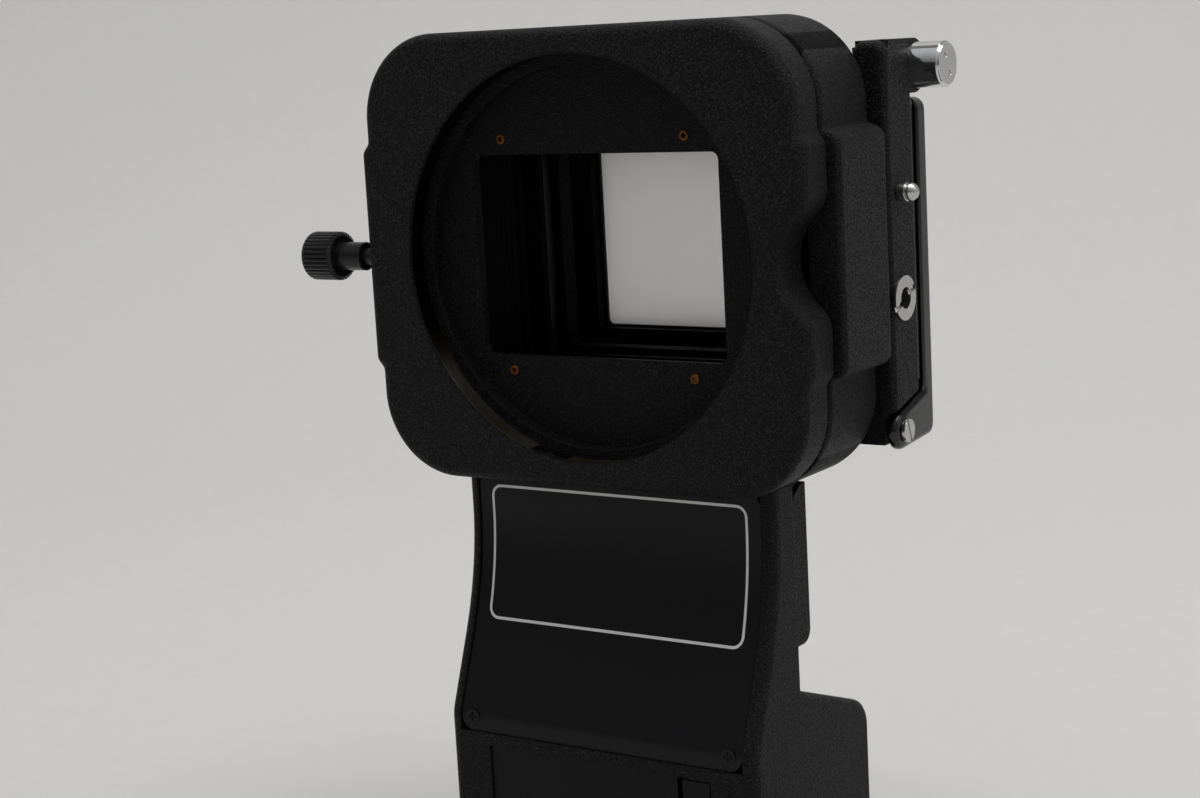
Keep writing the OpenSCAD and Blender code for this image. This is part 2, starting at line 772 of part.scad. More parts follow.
module stage_body() {
    color("#232425")
        difference() {
            union() {
                // middle block between the cheeks
                translate([-stage_hw + 2, stage_y, -cheek_hh])
                    cube([stage_w - 4, stage_depth, cheek_hh + stage_top_z]);
                both_sides()
                    translate([stage_hw - cheek_w / 2, 0, 0])
                        soft_block(cheek_w / 2, cheek_hh, 2.2, stage_y, stage_back_y, 1.2, 0.3);
                // boss that guides the release button
                translate([0, boss_y, boss_z])
                    x_rod(boss_r, stage_hw - cheek_w, stage_hw - 0.3);
                translate([stage_hw - cheek_w, stage_y + 2, boss_z - boss_r])
                    cube([cheek_w - 0.3, boss_y - stage_y - 2, 2 * boss_r]);
            }
            // slot for a mounted slide, open at the top
            translate([-slide_slot_w / 2, stage_y + stage_front_t, -slide_slot_w / 2])
                cube([slide_slot_w, stage_depth, slide_slot_w + 20]);
            // light opening
            plate(stage_open_w / 2, stage_open_h / 2, 1, stage_y - 1, stage_front_t + 2);
            // grooves for the carrier's tongues
            tongues(run, tongue_x + shift_x + 0.4);
            // room for the hinge ears of the diffuser frame
            both_sides()
                side_profile([[stage_y - 1, cut_z - cut_slope * (stage_depth + 1)],
                    [stage_back_y + 1, cut_z + cut_slope],
                    [stage_back_y + 1, -cheek_hh - 1], [stage_y - 1, -cheek_hh - 1]],
                    stage_hw - ear_t - ear_gap, stage_hw + 1);
            both_sides()
                translate([0, hinge_y, -hinge_drop])
                    x_rod(1.2, stage_hw - 9, stage_hw);
            both_sides()
                translate([0, tray_y, bush_z])
                    x_rod(3 + seat, stage_hw - 5, stage_hw + 1);
            both_sides()
                translate([0, tray_y, pin_z])
                    x_rod(1.2, stage_hw - 4, stage_hw + 1);
            translate([0, boss_y, boss_z]) {
                x_rod(1.6 + slip, stage_hw - cheek_w - 1, stage_hw);
                x_rod(button_d / 2 + slip, stage_hw - 2.2 - button_travel - seam, stage_hw + 1);
            }
            four_corners(gate_screw_dx, gate_screw_dz)
                y_rod(0.8, stage_back_y - 4, stage_back_y + 1);
            both_sides()
                translate([spring_x - spring_w / 2 - 0.1, stage_y + stage_front_t - 0.3, -14])
                    cube([spring_w + 0.2, 1, 28]);
        }
}

gate_hw = stage_hw - 0.6;
gate_z0 = -23.6;
gate_mid_z = (opal_top_z + gate_z0) / 2;
gate_hh = (opal_top_z - gate_z0) / 2;
gate_screw_dx = stage_w - 22;
gate_screw_dz = 36;

module gate_plate() {
    color("#1a1b1c")
        difference() {
            translate([0, 0, gate_mid_z])
                plate(gate_hw, gate_hh, 1, stage_back_y, gate_t);
            plate(gate_open_w / 2, gate_open_h / 2, 1, stage_back_y - 1, gate_t + 2);
            four_corners(gate_screw_dx, gate_screw_dz) {
                y_rod(0.85, stage_back_y - 1, gate_back_y + 1);
                y_rod(1.6, gate_back_y - 0.7, gate_back_y + 1);
            }
        }
}

module gate_screws() {
    color("#2b2b2b")
        four_corners(gate_screw_dx, gate_screw_dz)
            difference() {
                union() {
                    y_rod(0.75, stage_back_y - 3.5, gate_back_y - 0.3);
                    y_rod(1.5, gate_back_y - 0.7, gate_back_y - 0.05);
                }
                translate([-0.2, gate_back_y - 0.4, -2])
                    cube([0.4, 2, 4]);
            }
}

spring_x = 22.3;
spring_w = 3;
spring_bow = 0.7;

// Bowed leaf springs that hold a mounted slide against the gate plate
module slide_springs() {
    y0 = stage_y + stage_front_t - 0.3;
    color("#9a9a98")
        both_sides()
            side_profile(concat(
                [for (s = [-6:6]) [y0 + 0.05 + (spring_bow - 0.05) * (1 + cos(s * 30)) / 2, s * 2.2]],
                [for (s = [6:-1:-6]) [y0 + 0.3 + spring_bow * (1 + cos(s * 30)) / 2, s * 2.2]]),
                spring_x - spring_w / 2, spring_x + spring_w / 2);
}

module tray_bushes() {
    color("#b8b8b6")
        both_sides()
            translate([0, tray_y, bush_z])
                difference() {
                    union() {
                        x_rod(3, stage_hw - 4.9, stage_hw + 0.1);
                        x_rod(bush_r, stage_hw, stage_hw + 0.6);
                    }
                    x_rod(bush_hole_r, stage_hw - 6, stage_hw + 2);
                    rotate([115, 0, 0])
                        translate([stage_hw + 0.2, -0.45, -5])
                            cube([1, 0.9, 10]);
                }
}

module tray_pins() {
    color("#c9c9c6")
        both_sides()
            translate([0, tray_y, pin_z]) {
                x_rod(1.15, stage_hw - 3.8, stage_hw + 0.1);
                x_rod(pin_r, stage_hw, stage_hw + 1.5);
                x_rod(pin_r - 0.25, stage_hw + 1.4, stage_hw + 1.8);
                translate([stage_hw + 1.8, 0, 0])
                    rotate([0, 90, 0])
                        intersection() {
                            sphere(pin_r);
                            cylinder(h = 3, r = 3);
                        }
            }
}

module hinge_screws() {
    color("#c4c4c2")
        both_sides()
            translate([0, hinge_y, -hinge_drop])
                difference() {
                    union() {
                        x_rod(1.15, stage_hw - 8, stage_hw - ear_t);
                        x_rod(1.5, stage_hw - ear_t - ear_gap + 0.05, stage_hw + 0.1);
                        x_rod(1.9, stage_hw + 0.1, stage_hw + 0.8);
                    }
                    rotate([20, 0, 0])
                        translate([stage_hw + 0.45, -0.3, -3])
                            cube([1, 0.6, 6]);
                }
}

// ---------------------------------------------------------------- diffuser frame

opal_hw = stage_hw;
catch_w = 3.6;
catch_x = stage_hw - cheek_w - 0.6 - catch_w;
catch_hh = 2.2;
catch_lip = 1.8;
opal_z0 = -hinge_drop + 4.2;
opal_box_hw = 27;
opal_box_hh = 21;
opal_hold_hw = 23.5;
opal_hold_hh = 18.5;
retainer_dx = 2 * opal_box_hw - 4.4;
retainer_dz = 2 * opal_box_hh - 4.4;
retainer_lip = 2.2;

module opal_frame() {
    color("#161718")
        difference() {
            union() {
                translate([0, 0, (opal_top_z + opal_z0) / 2])
                    soft_block(opal_hw, (opal_top_z - opal_z0) / 2, 2, opal_y, opal_back_y, 0.2, 0.9);
                // raised box round the opal plate
                plate(opal_box_hw, opal_box_hh, 2, opal_back_y - 1, opal_box_y - opal_back_y + 1);
                both_sides()
                    ear();
                // catch that the latch rod enters
                translate([catch_x, boss_y - catch_lip, opal_top_z - 2])
                    cube([catch_w, opal_back_y - boss_y + catch_lip,
                        boss_z + catch_hh + 1 - opal_top_z + 2]);
            }
            // window in front, seat for the opal plate behind
            plate(opal_open_w / 2 + 1.5, opal_open_h / 2 + 1.5, 1.5, opal_y - 1, 10);
            plate(opal_hold_hw + seat, opal_hold_hh + seat, 1, opal_seat_y, 10);
            // open-fronted slot of the catch
            translate([catch_x - 1, boss_y - 5, boss_z - catch_hh])
                cube([catch_w + 2, 7, 2 * catch_hh]);
            both_sides()
                translate([0, hinge_y, -hinge_drop])
                    x_rod(1.5 + slip, stage_hw - ear_t - 1, stage_hw + 1);
            // gate plate's upper edge clears the catch
            translate([catch_x - 1, stage_back_y - 1, opal_top_z - 3])
                cube([catch_w + 2, opal_y - stage_back_y + 1, 3.5]);
            four_corners(retainer_dx, retainer_dz)
                y_rod(0.7, opal_box_y - 3, opal_box_y + 1);
        }
}

// Ear that reaches forward under the cheek to the hinge screw. Its top edge runs along the
// cheek's slanted cut, and its nose is round about the screw, so that it clears the cheek.
module ear() {
    slant = atan(cut_slope);
    nose = [for (s = [0:8]) let (a = 90 + slant + (180 - slant) * s / 8)
        [hinge_y + ear_r * cos(a), -hinge_drop + ear_r * sin(a)]];
    rise = (opal_y - nose[0][0]) * cut_slope;
    side_profile(concat([[opal_back_y, opal_z0 + 2], [opal_y, opal_z0 + 2],
        [opal_y, nose[0][1] + rise]], nose,
        [[opal_back_y - 5.6, -hinge_drop - 2.6], [opal_back_y, -hinge_drop - 0.6]]),
        stage_hw - ear_t, stage_hw);
}

module opal_glass() {
    color("#dedcd8")
        plate(opal_hold_hw, opal_hold_hh, 1, opal_seat_y, opal_t);
}

module opal_retainer() {
    color("#161718")
        difference() {
            union() {
                plate(opal_box_hw - 0.4, opal_box_hh - 0.4, 1.6, opal_box_y, 0.7);
                plate(opal_hold_hw - seat, opal_hold_hh - seat, 1, opal_seat_y + opal_t,
                    opal_box_y - opal_seat_y - opal_t + 0.1);
            }
            plate(opal_hold_hw - retainer_lip, opal_hold_hh - retainer_lip, 1, opal_y, 12);
            four_corners(retainer_dx, retainer_dz)
                y_rod(0.85, opal_box_y - 1, opal_box_y + 2);
        }
}

module retainer_screws() {
    color("#2b2b2b")
        four_corners(retainer_dx, retainer_dz)
            difference() {
                union() {
                    y_rod(0.65, opal_box_y - 2.5, opal_box_y + 0.8);
                    y_rod(1.3, opal_box_y + 0.7, opal_box_y + 1.3);
                }
                translate([-0.2, opal_box_y + 1, -2])
                    cube([0.4, 2, 4]);
            }
}

module pressure_plate() {
    color("#1f2021")
        difference() {
            translate([0, 0, gate_mid_z])
                plate(gate_hw - 0.2, gate_hh, 1, pressure_y, pressure_t);
            plate(opal_open_w / 2, opal_open_h / 2, 1, pressure_y - 1, pressure_t + 2);
        }
}

module release_button() {
    x1 = stage_hw + button_out;
    color("#d8d8d8")
        translate([0, boss_y, boss_z])
            difference() {
                union() {
                    x_rod(button_d / 2, stage_hw - 2.2, x1 - 0.4);
                    x_rod(button_d / 2 - 0.3, x1 - 0.5, x1);
                }
                x_rod(1, stage_hw - 3, stage_hw + 1.5);
                for (s = [-1, 1])
                    rotate([28, 0, 0])
                        translate([0, 0, s * 1.6])
                            x_rod(0.4, x1 - 1, x1 + 1);
            }
}

module latch_rod() {
    color("#a8a8a6")
        translate([0, boss_y, boss_z]) {
            x_rod(0.95, stage_hw - 2.3, stage_hw + 1.4);
            x_rod(1.6, stage_hw - cheek_w - 2.4, stage_hw - 2.2);
        }
}

// ---------------------------------------------------------------- nodes

column();
neck_cover();
neck_screws();
nameplate();
nameplate_screws();
rail_block();
rail_block_screws();
clamp_jaw();
rail_knob();
rear_housing();
bellows_rear_frame();
bellows();
bellows_front_frame();
mask_plate();
mask_rivets();
front_frame();
clamp_band();
lens_clamp_knob();
shift_carrier();
stage_body();
gate_plate();
gate_screws();
slide_springs();
tray_bushes();
tray_pins();
hinge_screws();
opal_frame();
opal_glass();
opal_retainer();
retainer_screws();
pressure_plate();
release_button();
latch_rod();
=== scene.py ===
"""The looks of a slide duplicator: a copying head with folded bellows on a curved column.
Metres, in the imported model's own frame: X to the right, Y from the lens to the lamp, Z up."""

import math

import bmesh
import bpy
import numpy as np
from mathutils import Matrix, Vector


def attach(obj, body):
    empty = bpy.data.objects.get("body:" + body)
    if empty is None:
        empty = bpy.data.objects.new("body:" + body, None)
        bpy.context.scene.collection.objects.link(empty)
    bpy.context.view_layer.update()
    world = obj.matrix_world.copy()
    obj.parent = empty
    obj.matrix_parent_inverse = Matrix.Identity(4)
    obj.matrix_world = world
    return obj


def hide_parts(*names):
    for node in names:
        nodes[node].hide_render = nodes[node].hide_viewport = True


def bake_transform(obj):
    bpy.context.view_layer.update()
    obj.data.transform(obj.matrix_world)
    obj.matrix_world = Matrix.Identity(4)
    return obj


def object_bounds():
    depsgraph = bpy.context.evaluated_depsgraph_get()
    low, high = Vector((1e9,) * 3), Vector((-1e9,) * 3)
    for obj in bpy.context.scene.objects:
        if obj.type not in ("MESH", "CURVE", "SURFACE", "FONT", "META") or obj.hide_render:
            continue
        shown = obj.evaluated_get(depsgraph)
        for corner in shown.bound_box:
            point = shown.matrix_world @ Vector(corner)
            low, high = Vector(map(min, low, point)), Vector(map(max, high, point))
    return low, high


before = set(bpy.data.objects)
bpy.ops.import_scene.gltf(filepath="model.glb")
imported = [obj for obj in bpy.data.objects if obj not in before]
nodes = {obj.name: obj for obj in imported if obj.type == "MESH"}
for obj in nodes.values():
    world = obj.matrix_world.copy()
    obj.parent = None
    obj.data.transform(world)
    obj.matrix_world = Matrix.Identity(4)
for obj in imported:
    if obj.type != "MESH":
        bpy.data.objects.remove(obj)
cad_low, cad_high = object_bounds()
mm = 0.001

# ------------------------------------------------------------------ column and foot
# A die-cast column with an S-shaped front that spreads into a block-shaped foot. It is
# sprayed with fine black wrinkle paint, which dries into small shiny pebbles.


def hex_to_linear(text):
    """An sRGB hex colour as a linear RGBA."""
    parts = [int(text[i : i + 2], 16) / 255 for i in (1, 3, 5)]
    linear = [c / 12.92 if c <= 0.04045 else ((c + 0.055) / 1.055) ** 2.4 for c in parts]
    return (*linear, 1.0)


def add_node(tree, kind, links=None, **settings):
    """Adds a node. Settings are its properties, inputs its sockets' values, and links feed its sockets."""
    node = tree.nodes.new(kind)
    inputs = settings.pop("inputs", {})
    for name, value in settings.items():
        setattr(node, name, value)
    for name, value in inputs.items():
        node.inputs[name].default_value = value
    for name, output in (links or {}).items():
        tree.links.new(output, node.inputs[name])
    return node


def noise(tree, where, scale, detail):
    """A noise pattern as one value; scale is in repeats a metre."""
    inputs = {"Scale": scale, "Detail": detail}
    return add_node(tree, "ShaderNodeTexNoise", {"Vector": where}, inputs=inputs).outputs["Fac"]


def start_material(name, roughness, metallic=0.0, **sockets):
    """A material with its shader and Object coordinates in metres."""
    material = bpy.data.materials.new(name)
    material.use_nodes = True
    tree = material.node_tree
    tree.nodes.clear()
    output = add_node(tree, "ShaderNodeOutputMaterial")
    shader = add_node(tree, "ShaderNodeBsdfPrincipled")
    shader.inputs["Roughness"].default_value = roughness
    shader.inputs["Metallic"].default_value = metallic
    for socket, value in sockets.items():
        shader.inputs[socket.replace("_", " ")].default_value = value
    tree.links.new(shader.outputs["BSDF"], output.inputs["Surface"])
    coordinates = add_node(tree, "ShaderNodeTexCoord").outputs["Object"]
    return material, tree, shader, coordinates


def two_tone(tree, shader, value, dark, light):
    """Mixes two hex colours by a value and feeds the shader's colour."""
    ramp = add_node(tree, "ShaderNodeValToRGB", {"Fac": value})
    ramp.color_ramp.elements[0].color = hex_to_linear(dark)
    ramp.color_ramp.elements[1].color = hex_to_linear(light)
    tree.links.new(ramp.outputs["Color"], shader.inputs["Base Color"])
    return ramp


def spread(tree, shader, value, low, high, socket="Roughness"):
    """Maps a 0 to 1 value onto a range of the shader's socket."""
    mapped = add_node(tree, "ShaderNodeMapRange", {"Value": value})
    mapped.inputs["To Min"].default_value = low
    mapped.inputs["To Max"].default_value = high
    tree.links.new(mapped.outputs["Result"], shader.inputs[socket])


def relief(tree, shader, height, depth):
    """A bump of the given depth in metres."""
    bump = add_node(tree, "ShaderNodeBump", {"Height": height})
    bump.inputs["Distance"].default_value = depth
    bump.inputs["Strength"].default_value = 1.0
    tree.links.new(bump.outputs["Normal"], shader.inputs["Normal"])


def reckon(tree, operation, *terms):
    """A maths node; its terms are numbers or the outputs of other nodes."""
    node = add_node(tree, "ShaderNodeMath", operation=operation)
    for index, term in enumerate(terms):
        if isinstance(term, float):
            node.inputs[index].default_value = term
        else:
            tree.links.new(term, node.inputs[index])
    return node.outputs["Value"]


def outside_of(tree, where, half_width, half_height, front):
    """0 in the light passage behind a front plane and within a rectangle about the axis, 1 elsewhere."""
    parts = add_node(tree, "ShaderNodeSeparateXYZ", {"Vector": where})
    across = reckon(tree, "SUBTRACT", reckon(tree, "ABSOLUTE", parts.outputs["X"]), half_width * mm)
    up = reckon(tree, "SUBTRACT", reckon(tree, "ABSOLUTE", parts.outputs["Z"]), half_height * mm)
    before = reckon(tree, "SUBTRACT", front * mm, parts.outputs["Y"])
    sides = reckon(tree, "MAXIMUM", across, up)
    return reckon(tree, "GREATER_THAN", reckon(tree, "MAXIMUM", sides, before), 0.0)


def wrinkle_paint(name, dark, light, pebble):
    """Baked wrinkle paint in pebbles of the given width. Their tops are glossier than the gaps, and
    each dries to a height of its own. The lighter colour on the tops of a few pebbles is painted
    glints. In the light passage through the castings they are left out and the paint shines less: painted
    shade."""
    material, tree, shader, where = start_material(name, 0.5)
    bent = add_node(tree, "ShaderNodeTexNoise", {"Vector": where})
    bent.inputs["Scale"].default_value = 0.5 / pebble
    bent.inputs["Detail"].default_value = 2.0
    shift = add_node(tree, "ShaderNodeVectorMath", {0: bent.outputs["Color"]}, operation="SCALE")
    shift.inputs["Scale"].default_value = pebble * 1.2
    moved = add_node(tree, "ShaderNodeVectorMath", {0: where, 1: shift.outputs["Vector"]}, operation="ADD")
    cells = add_node(
        tree, "ShaderNodeTexVoronoi", {"Vector": moved.outputs["Vector"]}, feature="SMOOTH_F1",
        inputs={"Scale": 1 / pebble, "Smoothness": 0.3},
    )
    tops = add_node(tree, "ShaderNodeMapRange", {"Value": cells.outputs["Distance"]})
    tops.inputs["From Max"].default_value = 0.7
    tops.inputs["To Min"].default_value = 1.0
    tops.inputs["To Max"].default_value = 0.0
    own = add_node(tree, "ShaderNodeSeparateColor", {"Color": cells.outputs["Color"]}).outputs["Red"]
    stand = add_node(tree, "ShaderNodeMapRange", {"Value": own})
    stand.inputs["To Min"].default_value = 0.45
    stand.inputs["To Max"].default_value = 1.35
    height = reckon(tree, "MULTIPLY", tops.outputs["Result"], stand.outputs["Result"])
    rare = reckon(tree, "POWER", own, 2.0)
    # painted glints on a few pebble tops; the light passage gets none of them, as painted shade
    outside = outside_of(tree, where, half_width=37.7, half_height=33.8, front=8.1)
    painted_glints_and_shade = reckon(tree, "MULTIPLY", reckon(tree, "MULTIPLY", rare, tops.outputs["Result"]), outside)
    two_tone(tree, shader, painted_glints_and_shade, dark, light)
    spread(tree, shader, outside, 0.05, 0.17, "Specular IOR Level")
    spread(tree, shader, height, 0.62, 0.27)
    relief(tree, shader, height, pebble * 0.6)
    return material


def smooth_group():
    """Geometry nodes that shade a mesh smooth and keep the edges over 38 degrees sharp."""
    tree = bpy.data.node_groups.new("smooth_by_angle", "GeometryNodeTree")
    tree.interface.new_socket("Geometry", in_out="INPUT", socket_type="NodeSocketGeometry")
    tree.interface.new_socket("Geometry", in_out="OUTPUT", socket_type="NodeSocketGeometry")
    start = add_node(tree, "NodeGroupInput")
    plain = add_node(tree, "GeometryNodeSetMeshNormal", {"Mesh": start.outputs["Geometry"]}, mode="SHARPNESS")
    plain.inputs["Remove Custom"].default_value = True
    angle = add_node(tree, "GeometryNodeInputMeshEdgeAngle").outputs["Unsigned Angle"]
    sharp = add_node(tree, "FunctionNodeCompare", {"A": angle}, operation="GREATER_THAN")
    sharp.inputs["B"].default_value = math.radians(38)
    tree.links.new(sharp.outputs["Result"], plain.inputs["Edge Sharpness"])
    end = add_node(tree, "NodeGroupOutput")
    tree.links.new(plain.outputs["Mesh"], end.inputs["Geometry"])
    return tree


smooth_by_angle = smooth_group()


def soften(width, *names, segments=2):
    """Breaks the sharp edges of CAD nodes by a width in millimetres and shades their round faces smooth."""
    for name in names:
        node = nodes[name]
        weld = node.modifiers.new("weld", "WELD")
        weld.merge_threshold = 0.002 * mm
        planes = node.modifiers.new("planes", "DECIMATE")
        planes.decimate_type = "DISSOLVE"
        planes.angle_limit = math.radians(0.5)
        if width:
            bevel = node.modifiers.new("broken_edges", "BEVEL")
            bevel.width = width * mm
            bevel.segments = segments
            bevel.limit_method = "ANGLE"
            bevel.angle_limit = math.radians(32)
        node.modifiers.new("shading", "NODES").node_group = smooth_by_angle
        weighted = node.modifiers.new("normals", "WEIGHTED_NORMAL")
        weighted.keep_sharp = True


def dress(material, *names):
    """Gives CAD nodes a material in place of their plain one."""
    for name in names:
        data = nodes[name].data
        data.materials.clear()
        data.materials.append(material)


def finish_mesh(name, mesh, material):
    """Smooth faces with sharp edges past 38 degrees, normals outwards, and the piece's material."""
    work = bmesh.new()
    work.from_mesh(mesh)
    bmesh.ops.recalc_face_normals(work, faces=work.faces)
    work.to_mesh(mesh)
    work.free()
    mesh.shade_smooth()
    mesh.set_sharp_from_angle(angle=math.radians(38))
    mesh.materials.append(material)
    piece = bpy.data.objects.new(name, mesh)
    bpy.context.scene.collection.objects.link(piece)
    weighted = piece.modifiers.new("normals", "WEIGHTED_NORMAL")
    weighted.keep_sharp = True
    return piece


def skin(name, rows, material, closed=False, more=()):
    """A tube through rows of points in millimetres; its ends are capped unless it closes on itself.
    More tubes can be part of the same mesh."""
    vertices, faces = [], []
    for tube in (rows, *more):
        first, count, loops = len(vertices), len(tube[0]), len(tube)
        vertices += (np.concatenate([np.asarray(row, float) for row in tube]) * mm).tolist()
        for i in range(loops if closed else loops - 1):
            near, far = first + i * count, first + (i + 1) % loops * count
            for j in range(count):
                k = (j + 1) % count
                faces.append((near + j, near + k, far + k, far + j))
        if not closed:
            faces.append(tuple(range(first, first + count)))
            faces.append(tuple(range(first + (loops - 1) * count, first + loops * count))[::-1])
    mesh = bpy.data.meshes.new(name)
    mesh.from_pydata(vertices, [], faces)
    return finish_mesh(name, mesh, material)


ray_count = 480
ray_angles = np.linspace(0, 2 * math.pi, ray_count, endpoint=False)


def rounded_box(x, z, half_width, half_height, radius, middle=(0.0, 0.0)):
    """Signed distance to a rounded rectangle, in millimetres."""
    qx = np.abs(x - middle[0]) - (half_width - radius)
    qz = np.abs(z - middle[1]) - (half_height - radius)
    outside = np.hypot(np.maximum(qx, 0), np.maximum(qz, 0))
    return outside + np.minimum(np.maximum(qx, qz), 0) - radius


def soft_join(a, b, blend_radius):
    """Union of two signed distances with a fillet where they meet."""
    share = np.maximum(blend_radius - np.abs(a - b), 0) / blend_radius
    return np.minimum(a, b) - share * share * blend_radius / 4


def rim(shape, inset=0.0):
    """Where a plan shape, drawn in by inset, crosses each ray from the middle: points as (x, z)."""
    reach = np.linspace(0.5, 70, 1400)
    x = reach[None, :] * np.cos(ray_angles)[:, None]
    z = reach[None, :] * np.sin(ray_angles)[:, None]
    distance = shape(x, z) + inset
    first = np.maximum(np.argmax(distance > 0, axis=1), 1)
    rows = np.arange(ray_count)
    before, after = distance[rows, first - 1], distance[rows, first]
    radius = reach[first - 1] + (reach[first] - reach[first - 1]) * before / (before - after)
    return np.stack([radius * np.cos(ray_angles), radius * np.sin(ray_angles)], 1)


def box_rim(half_width, half_height, radius, middle=(0.0, 0.0)):
    """The rim of a rounded rectangle, as (x, z)."""
    return rim(lambda x, z: rounded_box(x, z, half_width, half_height, radius, middle))


def circle_rim(radius):
    """A round rim, as (x, z)."""
    return np.stack([radius * np.cos(ray_angles), radius * np.sin(ray_angles)], 1)


def rounded_edge(shape, y, radius, way, steps=5):
    """Stations over a rounded outer edge: way 1 runs from the face at y onto the side, way -1 back off it."""
    stations = []
    for step in range(steps + 1):
        turn = math.pi / 2 * step / steps
        inset = radius * (1 - math.sin(turn))
        depth = radius * (1 - math.cos(turn))
        stations.append((rim(shape, inset), y + way * depth))
    return stations if way > 0 else stations[::-1]


def between(inner, outer, share):
    """A rim part of the way from one rim to another."""
    return inner + (outer - inner) * share


black_wrinkle = wrinkle_paint("black_wrinkle_paint_baked", "#040405", "#383a3e", 0.27 * mm)

column_hw, column_back, base_z, head_z = 29.9, 15.0, -112.0, -36.7
front_edge_r, rear_edge_r = 2.1, 0.8
plate_floor, pocket_hw, pocket_back, pocket_top = 1.28, 21.6, 11.7, -82.3
recess_hw, recess_z = 27.55, -80.25
neck_y, bend_z, bend_run, slope_run, crease_run, slope = 8.0, -43.0, 22.0, 11.4, 2.0, 0.395


def column_front(z):
    """The column's front: upright, a long bend, a straight slope and a short bend upright again."""
    down = bend_z - z
    bend = min(max(down, 0), bend_run)
    straight = min(max(down - bend_run, 0), slope_run)
    crease = min(max(down - bend_run - slope_run, 0), crease_run)
    eased = crease - crease * crease / (2 * crease_run)
    return neck_y - slope * (bend * bend / (2 * bend_run) + straight + eased)


def column_section(z, cut_hw, floor):
    """One level of the column, from its right rear corner round; floor is how deep the front is cut."""
    front = column_front(z)
    arc = [math.pi / 2 * k / 8 for k in range(9)]
    rear_flat, flat = column_hw - rear_edge_r, column_hw - front_edge_r
    turns = [(math.cos(a), 1 - math.sin(a)) for a in arc]
    rear = [(rear_flat + rear_edge_r * out, column_back - rear_edge_r * up) for out, up in turns]
    side = [(flat + front_edge_r * out, front + front_edge_r * up) for out, up in turns]
    lip = [(cut_hw + 0.18, front), (cut_hw, front + min(0.18, floor)), (cut_hw, front + floor)]
    half = rear[::-1] + side + lip
    return [(x, y, z) for x, y in half] + [(-x, y, z) for x, y in half[::-1]]


rows = [column_section(z, recess_hw, plate_floor) for z in np.linspace(head_z, bend_z, 4)]
rows += [column_section(z, recess_hw, plate_floor) for z in np.linspace(bend_z - 0.7, recess_z, 52)]
rows += [column_section(recess_z - 0.01, recess_hw, 0.0), column_section(pocket_top, pocket_hw, 0.0)]
for z in (pocket_top - 0.01, -96.0, base_z + 0.4, base_z):
    rows.append(column_section(z, pocket_hw, pocket_back - column_front(z)))

# a steep front keeps the heel flush with the column there, with no rounding of its own
heel_front, heel_front_steep = column_back - rear_edge_r, 30.0
heel_top_z, heel_fall, heel_back, heel_edge_r, heel_side_r = -70.9, 0.3707, 38.6, 3.4, 1.6


def heel_plan(y, z):
    """The foot behind the column seen from the side: a block with a sloping top and a round rear edge."""
    top = (z - heel_top_z + heel_fall * (y - column_back)) / math.hypot(1, heel_fall)
    back = y - heel_back
    under = base_z - z
    ahead = heel_front_steep * (heel_front - y)
    corner = -soft_join(-top, -back, heel_edge_r)
    return np.maximum(np.maximum(corner, under), ahead)


def shifted_rim(shape, middle, inset=0.0):
    """The rim of a plan shape seen from a point inside it."""
    return rim(lambda u, v: shape(u + middle[0], v + middle[1]), inset) + np.array(middle)


def block_across(shape, middle, x0, x1, radii, steps=5):
    """Rows for a block drawn out along X from a side shape given as (y, z); radii round its two ends."""
    rows = []
    for side, x, radius in ((-1, x0, radii[0]), (1, x1, radii[1])):
        for step in range(steps + 1):
            turn = math.pi / 2 * (step if side < 0 else steps - step) / steps
            edge = shifted_rim(shape, middle, radius * (1 - math.sin(turn)))
            reach = np.full(len(edge), x - side * radius * (1 - math.cos(turn)))
            rows.append(np.stack([reach, edge[:, 0], edge[:, 1]], 1))
    return rows


flare_r, flare_y, flare_z, flare_front, flare_foot = 5.5, 20.5, -42.7, 11.0, 0.5
flare_hw, flare_side_r = 28.4, 0.3
heel_middle, flare_middle = (25.0, -92.0), (13.5, -38.6)


def flare_plan(y, z):
    """The quarter-round flare behind the neck, seen from the side."""
    hollow = flare_r - np.hypot(y - flare_y, z - flare_z)
    return np.maximum.reduce([hollow, y - flare_y, z - head_z, flare_front - y, flare_z - flare_foot - z])


heel = block_across(heel_plan, heel_middle, -column_hw, column_hw, (heel_side_r, heel_side_r))
flare = block_across(flare_plan, flare_middle, -flare_hw, flare_hw, (flare_side_r, flare_side_r), 2)
column = skin("column_casting", rows, black_wrinkle, more=(heel, flare))
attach(column, "stand")
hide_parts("column")

# ------------------------------------------------------------------ neck cover
# A cast cover that two screws hold behind the neck. It is painted as the column is, and its
# edges are broken under the paint.
dress(black_wrinkle, "neck_cover")
soften(0.5, "neck_cover", segments=3)

# ------------------------------------------------------------------ nameplate
# A thin plate bent to the column's front and enamelled satin black. A light grey line is
# screen-printed round its plain upper field.
plate_paint, tree, shader, where = start_material("satin_black_enamel", 0.32, Specular_IOR_Level=0.15)
haze = noise(tree, where, 90.0, 4.0)
spread(tree, shader, haze, 0.27, 0.36)


